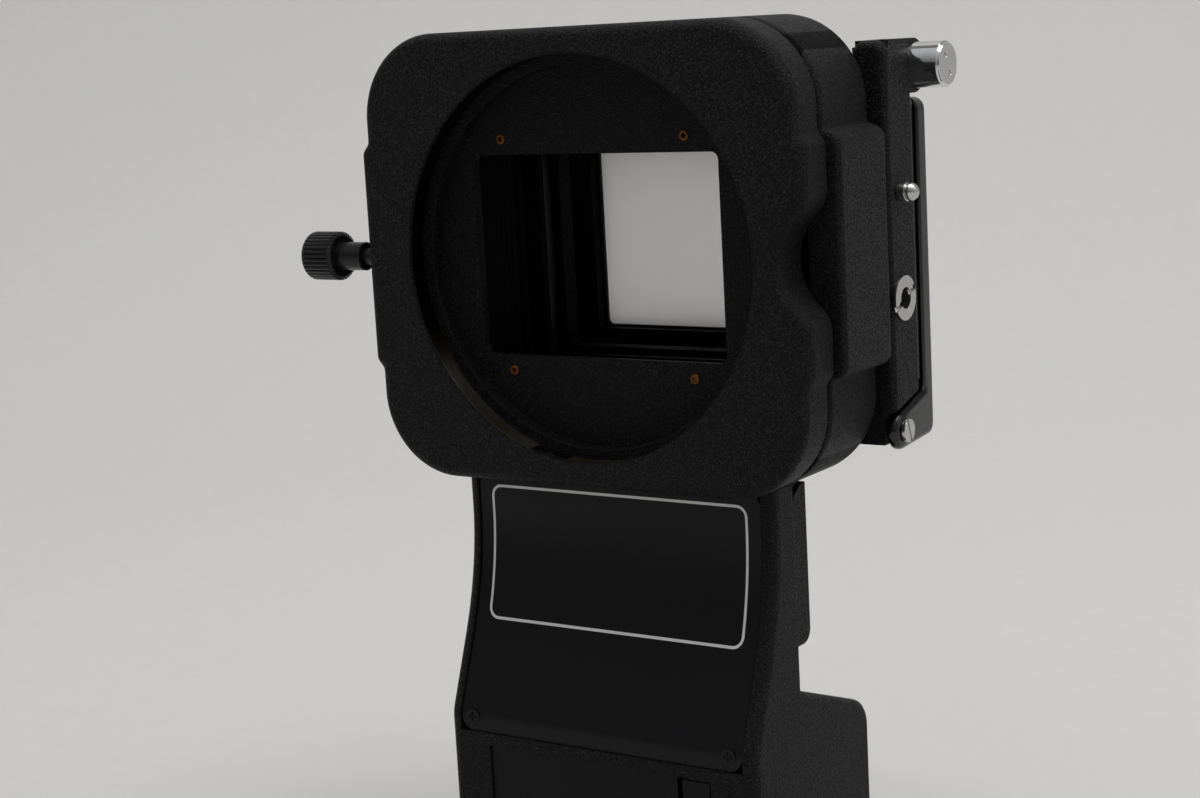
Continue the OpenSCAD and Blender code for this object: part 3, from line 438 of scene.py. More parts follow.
def printed_frame(tree, where, middle_z, half_width, half_height, radius, line):
    """1 on a line round a rounded rectangle in the X-Z plane and 0 elsewhere; sizes are in millimetres."""
    parts = add_node(tree, "ShaderNodeSeparateXYZ", {"Vector": where})
    across = reckon(tree, "ABSOLUTE", parts.outputs["X"])
    up = reckon(tree, "ABSOLUTE", reckon(tree, "SUBTRACT", parts.outputs["Z"], middle_z * mm))
    dx = reckon(tree, "SUBTRACT", across, (half_width - radius) * mm)
    dz = reckon(tree, "SUBTRACT", up, (half_height - radius) * mm)
    over_x, over_z = reckon(tree, "MAXIMUM", dx, 0.0), reckon(tree, "MAXIMUM", dz, 0.0)
    square_x, square_z = reckon(tree, "MULTIPLY", over_x, over_x), reckon(tree, "MULTIPLY", over_z, over_z)
    corner = reckon(tree, "SQRT", reckon(tree, "ADD", square_x, square_z))
    within = reckon(tree, "MINIMUM", reckon(tree, "MAXIMUM", dx, dz), 0.0)
    from_rim = reckon(tree, "SUBTRACT", reckon(tree, "ADD", corner, within), radius * mm)
    away = reckon(tree, "ABSOLUTE", from_rim)
    return reckon(tree, "LESS_THAN", away, line / 2 * mm)


printed = printed_frame(tree, where, -50.65, half_width=24.75, half_height=11.15, radius=1.8, line=0.46)
ink = add_node(tree, "ShaderNodeMix", {"Factor": printed}, data_type="RGBA")
ink.inputs["A"].default_value = hex_to_linear("#18181a")
ink.inputs["B"].default_value = hex_to_linear("#dedddb")
tree.links.new(ink.outputs["Result"], shader.inputs["Base Color"])

plate_hw, plate_top, plate_bottom, plate_corner, plate_sink, plate_t = 27.5, -37.1, -80.2, 2.5, 0.45, 0.8


def plate_section(z):
    """One level of the nameplate: its front follows the column, and its corners are round."""
    lack = max(plate_corner - min(plate_top - z, z - plate_bottom), 0)
    half = plate_hw - plate_corner + math.sqrt(max(plate_corner**2 - lack**2, 0.01))
    front = column_front(z) + plate_sink
    edge = 0.14
    side = [(half - edge, front), (half, front + edge), (half, front + plate_t)]
    return [(x, y, z) for x, y in side] + [(-x, y, z) for x, y in side[::-1]]


corner_drop = plate_corner * (1 - np.cos(np.linspace(0, math.pi / 2, 9)))
straight_part = np.linspace(plate_top - plate_corner - 0.6, plate_bottom + plate_corner + 0.6, 54)
levels = [*(plate_top - corner_drop), *straight_part, *(plate_bottom + corner_drop)[::-1]]
nameplate = skin("nameplate_sheet", [plate_section(z) for z in levels], plate_paint)
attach(nameplate, "stand")
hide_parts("nameplate")

# ------------------------------------------------------------------ small black screws
# Blackened steel screws for the nameplate, the neck cover, the gate, the retainer and the rail
# block. A fine grain in the blacking makes their shine uneven.
screw_black, tree, shader, where = start_material("blackened_steel", 0.24, 0.7)
grain = noise(tree, where, 2500.0, 3.0)
two_tone(tree, shader, grain, "#0b0b0c", "#1b1b1c")
dress(screw_black, "nameplate_screws", "neck_screws", "gate_screws", "retainer_screws", "rail_block_screws")
soften(0.06, "nameplate_screws", "gate_screws", "retainer_screws")
soften(0.12, "neck_screws", "rail_block_screws")

# ------------------------------------------------------------------ rail clamp
# A milled block and its moving jaw in matt black anodised aluminium. The shift slide's carrier
# is finished the same way.
finish = "matt_black_anodised_aluminium"
anodised, tree, shader, where = start_material(finish, 0.45, 0.2, Specular_IOR_Level=0.2)
grain = noise(tree, where, 1800.0, 5.0)
two_tone(tree, shader, grain, "#070708", "#101011")
spread(tree, shader, grain, 0.36, 0.5)
relief(tree, shader, grain, 0.01 * mm)
dress(anodised, "rail_block", "clamp_jaw", "shift_carrier")
soften(0.25, "rail_block", "clamp_jaw", "shift_carrier")

# ------------------------------------------------------------------ knurled knobs
# Turned aluminium knobs with a straight knurl. Geometry nodes press the teeth into the grip,
# and they fade out at its chamfers.
finish = "glossy_black_anodised_aluminium"
knob_black, tree, shader, where = start_material(finish, 0.3, 0.5, Specular_IOR_Level=0.5)
grain = noise(tree, where, 1500.0, 3.0)
two_tone(tree, shader, grain, "#141415", "#262627")


def knurl_group():
    """Geometry nodes that press evenly spaced grooves into the rows that the grip attribute marks."""
    tree = bpy.data.node_groups.new("straight_knurl", "GeometryNodeTree")
    face = tree.interface
    face.new_socket("Geometry", in_out="INPUT", socket_type="NodeSocketGeometry")
    sockets = [face.new_socket(label, in_out="INPUT", socket_type=kind) for label, kind in (
        ("Teeth", "NodeSocketFloat"), ("Groove Depth", "NodeSocketFloat"), ("Finish", "NodeSocketMaterial"))]
    face.new_socket("Geometry", in_out="OUTPUT", socket_type="NodeSocketGeometry")
    start = add_node(tree, "NodeGroupInput")
    place = add_node(tree, "GeometryNodeInputPosition").outputs["Position"]
    parts = add_node(tree, "ShaderNodeSeparateXYZ", {"Vector": place})
    angle = reckon(tree, "ARCTAN2", parts.outputs["Z"], parts.outputs["Y"])
    wave = reckon(tree, "COSINE", reckon(tree, "MULTIPLY", angle, start.outputs["Teeth"]))
    share = add_node(tree, "ShaderNodeMapRange", {"Value": wave})
    share.inputs["From Min"].default_value = -0.2
    grip = add_node(tree, "GeometryNodeInputNamedAttribute", data_type="FLOAT")
    grip.inputs["Name"].default_value = "grip"
    amount = reckon(tree, "MULTIPLY", share.outputs["Result"], grip.outputs["Attribute"])
    depth = reckon(tree, "MULTIPLY", amount, start.outputs["Groove Depth"])
    inward = add_node(tree, "ShaderNodeVectorMath", {0: place}, operation="MULTIPLY")
    inward.inputs[1].default_value = (0, -1, -1)
    unit = add_node(tree, "ShaderNodeVectorMath", {0: inward.outputs["Vector"]}, operation="NORMALIZE")
    deepened = {0: unit.outputs["Vector"], "Scale": depth}
    push = add_node(tree, "ShaderNodeVectorMath", deepened, operation="SCALE")
    pressed = {"Geometry": start.outputs["Geometry"], "Offset": push.outputs["Vector"]}
    moved = add_node(tree, "GeometryNodeSetPosition", pressed)
    finished = {"Geometry": moved.outputs["Geometry"], "Material": start.outputs["Finish"]}
    painted = add_node(tree, "GeometryNodeSetMaterial", finished)
    end = add_node(tree, "NodeGroupOutput")
    tree.links.new(painted.outputs["Geometry"], end.inputs["Geometry"])
    return tree, [socket.identifier for socket in sockets]


straight_knurl, knurl_sockets = knurl_group()


def turned_knob(name, profile, axis_y, axis_z, teeth, groove):
    """A knob turned about a line along X. The profile's rows are x, radius and share of the knurl."""
    around = teeth * 8
    turns = np.linspace(0, 2 * math.pi, around, endpoint=False)
    rows = []
    for x, radius, share in profile:
        rows.append(np.stack([np.full(around, x), radius * np.cos(turns), radius * np.sin(turns)], 1))
    piece = skin(name, rows, knob_black)
    piece.modifiers.clear()
    grip = piece.data.attributes.new("grip", "FLOAT", "POINT")
    shares = [share for x, radius, share in profile]
    grip.data.foreach_set("value", np.repeat(shares, around).astype(np.float32))
    knurl = piece.modifiers.new("knurl", "NODES")
    knurl.node_group = straight_knurl
    for identifier, value in zip(knurl_sockets, (float(teeth), groove * mm, knob_black)):
        knurl[identifier] = value
    piece.update_tag()
    bpy.context.view_layer.update()
    shaped = bpy.data.meshes.new_from_object(piece.evaluated_get(bpy.context.evaluated_depsgraph_get()))
    piece.modifiers.clear()
    piece.data = shaped
    shaped.transform(Matrix.Translation((0, axis_y * mm, axis_z * mm)))
    shaped.set_sharp_from_angle(angle=math.radians(28))
    return piece


rail_profile = [(18.4, 2.0, 0), (30.9, 2.0, 0), (30.9, 4.9, 0), (31.0, 5.1, 0), (32.7, 5.1, 0)]
rail_profile += [(32.7, 6.7, 0), (33.0, 7.1, 0.3), (33.3, 7.45, 1), (40.4, 7.45, 1), (40.9, 7.2, 0.4)]
rail_profile += [(41.3, 6.8, 0), (41.65, 6.1, 0), (41.7, 5.6, 0), (41.45, 5.4, 0), (41.4, 1.2, 0)]
rail_profile += [(41.4, 0.4, 0)]
rail_knob = turned_knob("rail_clamp_knob", rail_profile, axis_y=6.0, axis_z=-99.0, teeth=44, groove=0.34)
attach(rail_knob, "rail_knob")
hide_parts("rail_knob")

lens_profile = [(-33.7, 1.0, 0), (-34.1, 1.45, 0), (-44.2, 1.45, 0), (-44.2, 2.25, 0), (-44.35, 2.42, 0)]
lens_profile += [(-47.6, 2.42, 0), (-47.7, 2.3, 0), (-48.1, 2.3, 0), (-48.2, 2.42, 0), (-49.4, 2.42, 0)]
lens_profile += [(-49.4, 3.5, 0), (-49.6, 3.85, 0.3), (-49.85, 4.17, 1), (-55.2, 4.17, 1), (-55.5, 4.0, 0.5)]
lens_profile += [(-55.75, 3.7, 0), (-55.88, 3.2, 0), (-55.9, 2.2, 0), (-55.6, 2.05, 0), (-55.55, 0.9, 0)]
lens_profile += [(-55.55, 0.2, 0)]
lens_knob = turned_knob("lens_clamp_knob_turned", lens_profile, axis_y=3.1, axis_z=0.0, teeth=34, groove=0.24)
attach(lens_knob, "lens_knob")
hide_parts("lens_clamp_knob")

# ------------------------------------------------------------------ rear housing
# A deep die-cast frame on the head of the column, with pads at its sides. Its wall has a
# window, and its back an undercut pocket for the shift slide.


def ring_piece(name, stations, material):
    """A closed ring skinned through rims that run once round its section."""
    rows = [np.stack([points[:, 0], np.full(len(points), y), points[:, 1]], 1) for points, y in stations]
    return skin(name, rows, material, closed=True)


# half width, half height and corner radius of the head, and of each casting's pads with their middle
head = (40.6, 36.7, 14.0)
housing_pads, front_pads = (43.5, 18.9, 2.2, (0, 0.4)), (41.9, 18.8, 2.0, (0, 0.2))
pad_fillet = 1.0


def housing_plan(x, z):
    """The housing seen along the axis: a rounded rectangle with a pad at each side."""
    return soft_join(rounded_box(x, z, *head), rounded_box(x, z, *housing_pads), pad_fillet)


housing_front, wall_front, pocket_floor, housing_back = 8.3, 21.2, 22.4, 25.2
cavity = box_rim(37.6, 33.7, 11.0)
wall_window = box_rim(20.5, 18.5, 1.5)
pocket_mouth = box_rim(28.05, 28.7, 0.4)
pocket_base = box_rim(29.0, 28.7, 0.4)
stations = rounded_edge(housing_plan, housing_front, 1.1, 1)
stations += rounded_edge(housing_plan, housing_back, 2.1, -1, 7)
stations += [(pocket_mouth * 1.004, housing_back), (pocket_mouth, housing_back - 0.12)]
stations += [(pocket_base, pocket_floor), (wall_window * 1.006, pocket_floor)]
stations += [(wall_window, pocket_floor - 0.12), (wall_window, wall_front)]
stations += [(cavity, wall_front), (cavity, housing_front + 0.2), (cavity * 1.005, housing_front)]
rear_housing = ring_piece("rear_housing_casting", stations, black_wrinkle)
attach(rear_housing, "stand")
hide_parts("rear_housing")

# ------------------------------------------------------------------ inside plates
# Plates in the light's way, lacquered flat black: the two frames of the bellows and the
# pressure plate.
flat_black, tree, shader, where = start_material("flat_black_lacquer", 0.5, Specular_IOR_Level=0.15)
grain = noise(tree, where, 900.0, 3.0)
two_tone(tree, shader, grain, "#060607", "#0d0d0e")
dress(flat_black, "bellows_rear_frame", "bellows_front_frame", "pressure_plate")
soften(0.12, "bellows_rear_frame", "bellows_front_frame", "pressure_plate")

# ------------------------------------------------------------------ bellows
# Black rubberised cloth over card ribs, folded like a concertina and glued between two plates.
# At rest it is squeezed flat, as this mesh is; the front frame of the real one pulls it open.
bellows_cloth, tree, shader, where = start_material("rubberised_black_cloth", 0.6, Specular_IOR_Level=0.25)
weave = noise(tree, where, 1500.0, 3.0)
two_tone(tree, shader, weave, "#09090a", "#131314")
relief(tree, shader, weave, 0.03 * mm)

fold_count, fold_steps, fold_depth, cloth_mm = 8, 10, 5.6, 0.35
bellows_hw, bellows_hh, bellows_corner = 25.0, 21.0, 3.2
bellows_start, bellows_end = 8.8, 20.4


def fold_rims(thickness):
    """Rims down the folds: valleys are rounded, peaks are sharper, and the corners are fuller."""
    found = []
    total = fold_count * fold_steps
    for step in range(total + 1):
        phase = step / fold_steps % 1.0
        wave = 1 - abs(2 * phase - 1)
        eased = 0.5 - 0.5 * math.cos(math.pi * wave)
        out = 0.7 * wave + 0.3 * eased
        grow = 0.4 + fold_depth * out + thickness
        reach = box_rim(bellows_hw + grow, bellows_hh + grow, bellows_corner + 0.5 * grow)
        found.append((reach, bellows_start + (bellows_end - bellows_start) * step / total))
    return found


stations = fold_rims(cloth_mm) + fold_rims(0.0)[::-1]
bellows = ring_piece("bellows_cloth_folds", stations, bellows_cloth)
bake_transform(bellows)
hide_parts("bellows")

# ------------------------------------------------------------------ front frame
# The casting that slips over the lens: a round mouth with a groove for the clamping band, a
# pad at each side, and a scoop for the thumb cut through the right pad.
scoop_x, scoop_r, scoop_edge = 46.3, 9.3, 2.2


def front_plan(x, z):
    """The front frame seen along the axis, with its pads and the thumb scoop."""
    body = soft_join(rounded_box(x, z, *head), rounded_box(x, z, *front_pads), pad_fillet)
    scoop = scoop_r - np.hypot(x - scoop_x, z)
    return -soft_join(-body, -scoop, scoop_edge)


lens_mouth, light_step, groove = circle_rim(32.5), circle_rim(31.0), circle_rim(33.5)
front_back, mask_front, step_y = 8.0, 6.9, 4.4
groove_front, groove_back = 0.5, 4.1
rebate = box_rim(34.0, 31.8, 3.0)
face_edge_r = 1.9
face_rim, mouth_edge = rim(front_plan, face_edge_r), circle_rim(32.8)
stations = [(lens_mouth, 0.3), (circle_rim(32.58), 0.1), (mouth_edge, 0.0)]
stations += [(between(mouth_edge, face_rim, share), 0.0) for share in (0.1, 0.5, 0.9)]
stations += rounded_edge(front_plan, 0.0, face_edge_r, 1, 8)
stations += rounded_edge(front_plan, front_back, 1.1, -1)
stations += [(rebate * 1.004, front_back), (rebate, front_back - 0.12), (rebate, mask_front)]
stations += [(light_step, mask_front), (light_step, step_y + 0.15), (circle_rim(31.15), step_y)]
stations += [(lens_mouth, step_y), (lens_mouth, groove_back), (groove, groove_back)]
stations += [(groove, groove_front), (lens_mouth, groove_front)]
front_frame = ring_piece("front_frame_casting", stations, black_wrinkle)
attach(front_frame, "front")
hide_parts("front_frame")

# ------------------------------------------------------------------ mask plate
# A sheet-metal mask behind the lens mouth, held by four rivets and painted as the castings are.
# Its window has a broken front edge.
mask_window = box_rim(23.3, 16.5, 1.2)
mask_edge = box_rim(33.9, 31.7, 3.0)
stations = [(mask_window, front_back), (mask_window, mask_front + 0.25)]
stations += [(mask_window * 1.004, mask_front + 0.08), (mask_window * 1.012, mask_front)]
stations += [(mask_edge, mask_front), (mask_edge, front_back)]
mask_plate = ring_piece("mask_sheet", stations, black_wrinkle)
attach(mask_plate, "front")
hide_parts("mask_plate")

# ------------------------------------------------------------------ rivets
# Hollow brass rivets with rolled heads, browned with age. Geometry nodes set one at each
# corner of the mask.
brass, tree, shader, where = start_material("tarnished_brass", 0.42, 1.0)
grain = noise(tree, where, 3000.0, 3.0)
two_tone(tree, shader, grain, "#472b16", "#8f5d33")


def corners_group():
    """Geometry nodes that set a piece at the corners of a rectangle in the X-Z plane."""
    tree = bpy.data.node_groups.new("at_four_corners", "GeometryNodeTree")
    face = tree.interface
    face.new_socket("Geometry", in_out="INPUT", socket_type="NodeSocketGeometry")
    sockets = [face.new_socket(label, in_out="INPUT", socket_type=kind) for label, kind in (
        ("Spacing Across", "NodeSocketFloat"), ("Spacing Up", "NodeSocketFloat"),
        ("Finish", "NodeSocketMaterial"))]
    face.new_socket("Geometry", in_out="OUTPUT", socket_type="NodeSocketGeometry")
    start = add_node(tree, "NodeGroupInput")
    spacing = {"Size X": start.outputs["Spacing Across"], "Size Y": start.outputs["Spacing Up"]}
    grid = add_node(tree, "GeometryNodeMeshGrid", spacing)
    grid.inputs["Vertices X"].default_value = 2
    grid.inputs["Vertices Y"].default_value = 2
    upright = add_node(tree, "GeometryNodeTransform", {"Geometry": grid.outputs["Mesh"]})
    upright.inputs["Rotation"].default_value = (math.pi / 2, 0, 0)
    placed = {"Points": upright.outputs["Geometry"], "Instance": start.outputs["Geometry"]}
    copies = add_node(tree, "GeometryNodeInstanceOnPoints", placed)
    solid = add_node(tree, "GeometryNodeRealizeInstances", {"Geometry": copies.outputs["Instances"]})
    finished = {"Geometry": solid.outputs["Geometry"], "Material": start.outputs["Finish"]}
    painted = add_node(tree, "GeometryNodeSetMaterial", finished)
    end = add_node(tree, "NodeGroupOutput")
    tree.links.new(painted.outputs["Geometry"], end.inputs["Geometry"])
    return tree, [socket.identifier for socket in sockets]


at_corners, corner_sockets = corners_group()


def at_four_corners(piece, across, up, material):
    """Turns a piece made at the axis into its four copies."""
    spread_out = piece.modifiers.new("corners", "NODES")
    spread_out.node_group = at_corners
    for identifier, value in zip(corner_sockets, (across * mm, up * mm, material)):
        spread_out[identifier] = value
    piece.update_tag()
    bpy.context.view_layer.update()
    copies = bpy.data.meshes.new_from_object(piece.evaluated_get(bpy.context.evaluated_depsgraph_get()))
    piece.modifiers.clear()
    piece.data = copies
    return piece


def turned_rows(profile, around=40):
    """Rows for a piece turned about the Y axis, from (radius, y) pairs in millimetres."""
    turns = np.linspace(0, 2 * math.pi, around, endpoint=False)
    along, up = np.cos(turns), np.sin(turns)
    return [np.stack([radius * along, np.full(around, y), radius * up], 1) for radius, y in profile]


rivet_profile = [(0.85, 6.9), (0.85, 6.82), (0.8, 6.72), (0.68, 6.66), (0.5, 6.66), (0.4, 6.72), (0.36, 6.9)]
rivet_profile += [(0.34, 7.3), (0.2, 7.3), (0.1, 7.3)]
rivet_back = [(0.6, 8.7), (0.6, 8.8), (0.85, 8.8), (0.85, 8.95), (0.7, 9.08), (0.3, 9.1)]
rivets = skin("mask_rivet_heads", turned_rows(rivet_profile), brass, more=(turned_rows(rivet_back),))
at_four_corners(rivets, across=35.0, up=38.2, material=brass)
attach(rivets, "front")
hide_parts("mask_rivets")

# ------------------------------------------------------------------ clamping band
# A split ring of dull spring steel fills the groove just inside the mouth. Oil and age have
# browned it in patches. Its lower part is painted lighter as painted light, and the rest dark as
# painted shade. The slide slot's leaf springs match it.
spring_steel, tree, shader, where = start_material("dull_spring_steel", 0.24, 0.7)
stain = noise(tree, where, 70.0, 3.0)
parts = add_node(tree, "ShaderNodeSeparateXYZ", {"Vector": where})
# painted light low on the ring and painted shade above it, set by height
painted_light_below = add_node(tree, "ShaderNodeMapRange", {"Value": parts.outputs["Z"]}, interpolation_type="SMOOTHSTEP")
painted_light_below.inputs["From Min"].default_value = -11 * mm
painted_light_below.inputs["From Max"].default_value = -19 * mm
stain_and_painted_light = reckon(tree, "MULTIPLY", stain, painted_light_below.outputs["Result"])
ramp = two_tone(tree, shader, stain_and_painted_light, "#0b0a09", "#57544a")
ramp.color_ramp.elements[1].position = 0.62
ramp.color_ramp.elements.new(0.34).color = hex_to_linear("#3f3122")
spread(tree, shader, stain, 0.3, 0.18)
dress(spring_steel, "slide_springs")

band_in, band_out, band_front, band_back, band_edge = 32.6, 33.3, 0.62, 3.98, 0.12
band_from, band_to = -97.6, 250.5


def band_rows():
    """The band's section, with broken edges, set along its arc from one side of the split to the other."""
    near, far = band_front + band_edge, band_back - band_edge
    inner, outer = band_in + band_edge, band_out - band_edge
    section = [(band_in, near), (inner, band_front), (outer, band_front), (band_out, near)]
    section += [(band_out, far), (outer, band_back), (inner, band_back), (band_in, far)]
    turns = np.radians(np.linspace(band_from, band_to, 260))
    return [[(reach * math.cos(turn), y, reach * math.sin(turn)) for reach, y in section] for turn in turns]


clamp_band = skin("clamp_band_ring", band_rows(), spring_steel)
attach(clamp_band, "front")
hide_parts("clamp_band")

# ------------------------------------------------------------------ film stage
# The stage is cast in one with its two cheeks and the boss round the release button. Every
# outer edge is soft under the paint.
dress(black_wrinkle, "stage_body")
soften(0.45, "stage_body", segments=3)

# ------------------------------------------------------------------ chrome pieces
# The release button is bright chrome. The bushes, the pins, the hinge screws and the latch rod
# are satin nickel.
chrome, tree, shader, where = start_material("bright_chrome_plate", 0.09, 1.0)
grain = noise(tree, where, 1200.0, 3.0)
two_tone(tree, shader, grain, "#cfcfcf", "#e6e6e6")
dress(chrome, "release_button")
soften(0.22, "release_button", segments=3)

satin, tree, shader, where = start_material("satin_nickel_plate", 0.24, 1.0)
grain = noise(tree, where, 1600.0, 3.0)
two_tone(tree, shader, grain, "#b3b2ae", "#d0cfcb")
dress(satin, "tray_bushes", "tray_pins", "hinge_screws", "latch_rod")
soften(0.12, "tray_bushes", "tray_pins", "hinge_screws", "latch_rod", segments=3)

# ------------------------------------------------------------------ gate plate
# The plate that the film lies on. It is glossy black at its two ends, more than 38 mm from the
# middle, and flat black round its window.
gate_paint, tree, shader, where = start_material("gate_black_paint", 0.16)
grain = noise(tree, where, 120.0, 3.0)
two_tone(tree, shader, grain, "#070708", "#0d0d0e")
edge = outside_of(tree, where, half_width=38.0, half_height=60.0, front=-10.0)
spread(tree, shader, edge, 0.6, 0.16)
spread(tree, shader, edge, 0.05, 0.5, "Specular IOR Level")
dress(gate_paint, "gate_plate")
soften(0.2, "gate_plate", segments=3)

# ------------------------------------------------------------------ diffuser
# A cast swing frame in glossy black paint hangs on two ears, with a catch at its top for the
# latch. A retainer that four screws hold keeps the opal plate in its raised box.
gloss, tree, shader, where = start_material("gloss_black_paint", 0.16, Specular_IOR_Level=0.5)
grain = noise(tree, where, 120.0, 3.0)
two_tone(tree, shader, grain, "#0a0a0b", "#111112")
dress(gloss, "opal_retainer")
soften(0.3, "opal_retainer", segments=3)

swing_rim, swing_front, swing_back, swing_box = 36.5, 37.8, 40.0, 42.4
swing_low, swing_high, swing_hw = -25.7, 22.6, 43.0
hinge_y, hinge_z, nose_r, ear_slope, ear_foot_slope = 28.8, -29.9, 3.1, 0.2736, 0.07
riser_top, ear_corner, glass_front = -21.0, 1.6, 39.0


def swing_plan(x, z):
    """The swing frame seen along the axis, from below its opening to its top edge."""
    middle = (swing_low + swing_high) / 2
    return rounded_box(x, z, swing_hw, (swing_high - swing_low) / 2, 2.0, (0, middle))


def ear_plan(y, z):
    """An ear seen from the side: a round nose at the hinge screw and an arm back to the frame's edge."""
    lean = math.hypot(1, ear_slope)
    nose = np.hypot(y - hinge_y, z - hinge_z) - nose_r
    over = (z - hinge_z - ear_slope * (y - hinge_y)) / lean - nose_r
    under = hinge_z - nose_r + ear_foot_slope * (y - hinge_y) - z
    behind = y - swing_back
    corner = -soft_join(-under, -behind, ear_corner)
    arm = np.maximum.reduce([over, corner, hinge_y - y])
    riser = np.maximum.reduce([swing_rim - y, corner, z - riser_top])
    return np.minimum(np.minimum(nose, arm), riser)


window = box_rim(21.2, 17.7, 1.5)
glass_seat = box_rim(23.55, 18.55, 1.0)
raised_box = box_rim(27.0, 21.0, 2.0)
raised_foot = box_rim(27.5, 21.5, 2.5)
raised_top = box_rim(26.7, 20.7, 1.7)
film_way = box_rim(40.4, 23.3, 1.2, (0, -1.55))
stations = [(window * 1.012, swing_front), (film_way, swing_front), (film_way, swing_rim + 0.15)]
stations += rounded_edge(swing_plan, swing_rim, 0.5, 1)
stations += rounded_edge(swing_plan, swing_back, 1.0, -1)
stations += [(raised_foot, swing_back), (between(raised_foot, raised_box, 0.7), swing_back + 0.15)]
stations += [(raised_box, swing_back + 0.5), (raised_box, swing_box - 0.3), (raised_top, swing_box)]
stations += [(glass_seat * 1.006, swing_box), (glass_seat, swing_box - 0.15), (glass_seat, glass_front)]
stations += [(window, glass_front), (window, swing_front + 0.2)]
swing_frame = ring_piece("swing_frame_casting", stations, gloss)
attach(swing_frame, "diffuser")
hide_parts("opal_frame")

ear_middle, ear_in, ear_out, ear_in_r, ear_out_r = (37.6, -27.0), 41.2, swing_hw + 0.02, 0.4, 1.1
right_ear = block_across(ear_plan, ear_middle, ear_in, ear_out, (ear_in_r, ear_out_r))
left_ear = block_across(ear_plan, ear_middle, -ear_out, -ear_in, (ear_out_r, ear_in_r))
catch_x = (32.8, 36.4)
hook = [(40.0, 20.8), (40.0, 30.8), (34.7, 30.8), (34.7, 29.8), (38.5, 29.8), (38.5, 25.4)]
hook += [(34.7, 25.4), (34.7, 23.1), (37.8, 23.1), (37.8, 20.8)]
catch = [[(x, y, z) for y, z in hook] for x in catch_x]
swing_ears = skin("swing_frame_ears_and_catch", right_ear, gloss, more=(left_ear, catch))
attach(swing_ears, "diffuser")
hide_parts("opal_frame")

opal, tree, shader, where = start_material("opal_acrylic", 0.35)
grain = noise(tree, where, 60.0, 2.0)
two_tone(tree, shader, grain, "#ebebea", "#f0f0ef")
through = add_node(tree, "ShaderNodeBsdfTranslucent")
through.inputs["Color"].default_value = hex_to_linear("#fdfcfb")
both = add_node(tree, "ShaderNodeMixShader", {1: shader.outputs["BSDF"], 2: through.outputs["BSDF"]})
both.inputs["Fac"].default_value = 0.72
tree.links.new(both.outputs["Shader"], tree.nodes["Material Output"].inputs["Surface"])
dress(opal, "opal_glass")
soften(0.15, "opal_glass")

# ------------------------------------------------------------------ studio
# A pale grey paper sweep under and behind the object, soft lamps, and the photograph's camera.
paper, tree, shader, where = start_material("pale_grey_paper", 0.8, Specular_IOR_Level=0.1)
grain = noise(tree, where, 300.0, 2.0)
two_tone(tree, shader, grain, "#c9c8c6", "#cdccca")

floor_z, sweep_r, sweep_back = cad_low.z, 0.35, 0.75
sweep_front, sweep_height, sweep_hw = -3.0, 3.0, 4.0
profile = [(sweep_front, floor_z), (sweep_back - sweep_r, floor_z)]
sweep_steps = 16
for step in range(1, sweep_steps + 1):
    turn = math.radians(90 * step / sweep_steps)
    back = sweep_back - sweep_r * (1 - math.sin(turn))
    profile.append((back, floor_z + sweep_r * (1 - math.cos(turn))))
profile.append((sweep_back, floor_z + sweep_height))
# the sweep is square to the line of sight, near enough
toward = Matrix.Rotation(math.radians(34), 4, "Z")
mesh = bpy.data.meshes.new("paper_sweep")
corners = [toward @ Vector((x, y, z)) for y, z in profile for x in (-sweep_hw, sweep_hw)]
faces = [(2 * i, 2 * i + 1, 2 * i + 3, 2 * i + 2) for i in range(len(profile) - 1)]
mesh.from_pydata(corners, [], faces)
mesh.materials.append(paper)
mesh.shade_smooth()
sweep = bpy.data.objects.new("paper_sweep", mesh)
bpy.context.scene.collection.objects.link(sweep)


def soft_lamp(name, place, aim, size, power):
    """A square softbox at a place, turned to a point. The camera doesn't see it."""
    data = bpy.data.lights.new(name, "AREA")
    data.shape = "SQUARE"
    data.size = size
    data.energy = power
    lamp = bpy.data.objects.new(name, data)
    bpy.context.scene.collection.objects.link(lamp)
    lamp.location = place
    lamp.rotation_mode = "QUATERNION"
    lamp.rotation_quaternion = (Vector(aim) - Vector(place)).to_track_quat("-Z", "Y")
    lamp.visible_camera = False


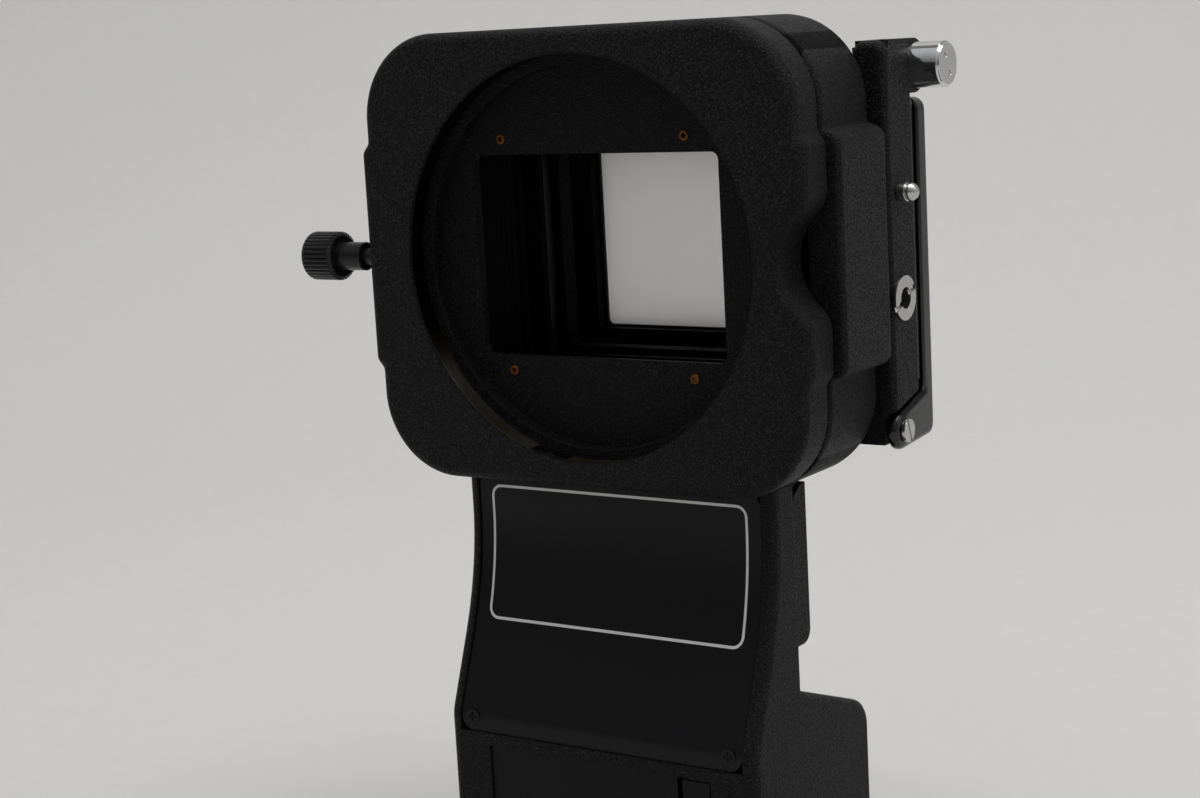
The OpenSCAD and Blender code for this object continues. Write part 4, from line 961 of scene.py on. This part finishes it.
soft_lamp("softbox_above", (0.2, 0.05, 1.3), (0, 0, 0), 1.0, 13.0)
soft_lamp("softbox_right", (1.1, 0.35, 1.2), (0, 0, 0), 1.0, 2.3)
soft_lamp("softbox_left", (-1.5, 0.3, 0.7), (0, 0.3, 0), 1.0, 6.0)

world = bpy.data.worlds.new("studio_room")
bpy.context.scene.world = world
world.use_nodes = True
# the room is dark towards the camera and under the table, and light above and behind
world_tree = world.node_tree
heading = add_node(world_tree, "ShaderNodeTexCoord").outputs["Generated"]
toward_light = add_node(world_tree, "ShaderNodeVectorMath", {0: heading}, operation="DOT_PRODUCT")
toward_light.inputs[1].default_value = (0.05, 0.62, 0.78)
fall = add_node(world_tree, "ShaderNodeMapRange", {"Value": toward_light.outputs["Value"]})
fall.interpolation_type = "SMOOTHSTEP"
fall.inputs["From Min"].default_value = -0.8
fall.inputs["From Max"].default_value = 0.8
fall.inputs["To Min"].default_value = 0.08
fall.inputs["To Max"].default_value = 0.62
room = world_tree.nodes["Background"]
room.inputs["Color"].default_value = hex_to_linear("#f4f5f7")
world_tree.links.new(fall.outputs["Result"], room.inputs["Strength"])

camera_azimuth = math.radians(33.97)
camera_elevation = math.radians(9.73)
camera_roll = math.radians(-3.16)
camera_place = Vector((193.7, -281.7, 36.5)) * mm
sight = Vector((
    -math.sin(camera_azimuth) * math.cos(camera_elevation),
    math.cos(camera_azimuth) * math.cos(camera_elevation),
    -math.sin(camera_elevation),
))
level = sight.cross(Vector((0, 0, 1))).normalized()
upright = level.cross(sight)
right = math.cos(camera_roll) * level + math.sin(camera_roll) * upright
top = -math.sin(camera_roll) * level + math.cos(camera_roll) * upright
camera_data = bpy.data.cameras.new("camera")
camera_data.sensor_width = 36
camera_data.lens = 65.28
camera_data.clip_start = 0.01
camera_data.clip_end = 20
camera = bpy.data.objects.new("camera", camera_data)
bpy.context.scene.collection.objects.link(camera)
rotation = Matrix((right, top, -sight)).transposed()
camera.matrix_world = Matrix.Translation(camera_place) @ rotation.to_4x4()
bpy.context.scene.camera = camera
bpy.context.scene.view_settings.view_transform = "Standard"
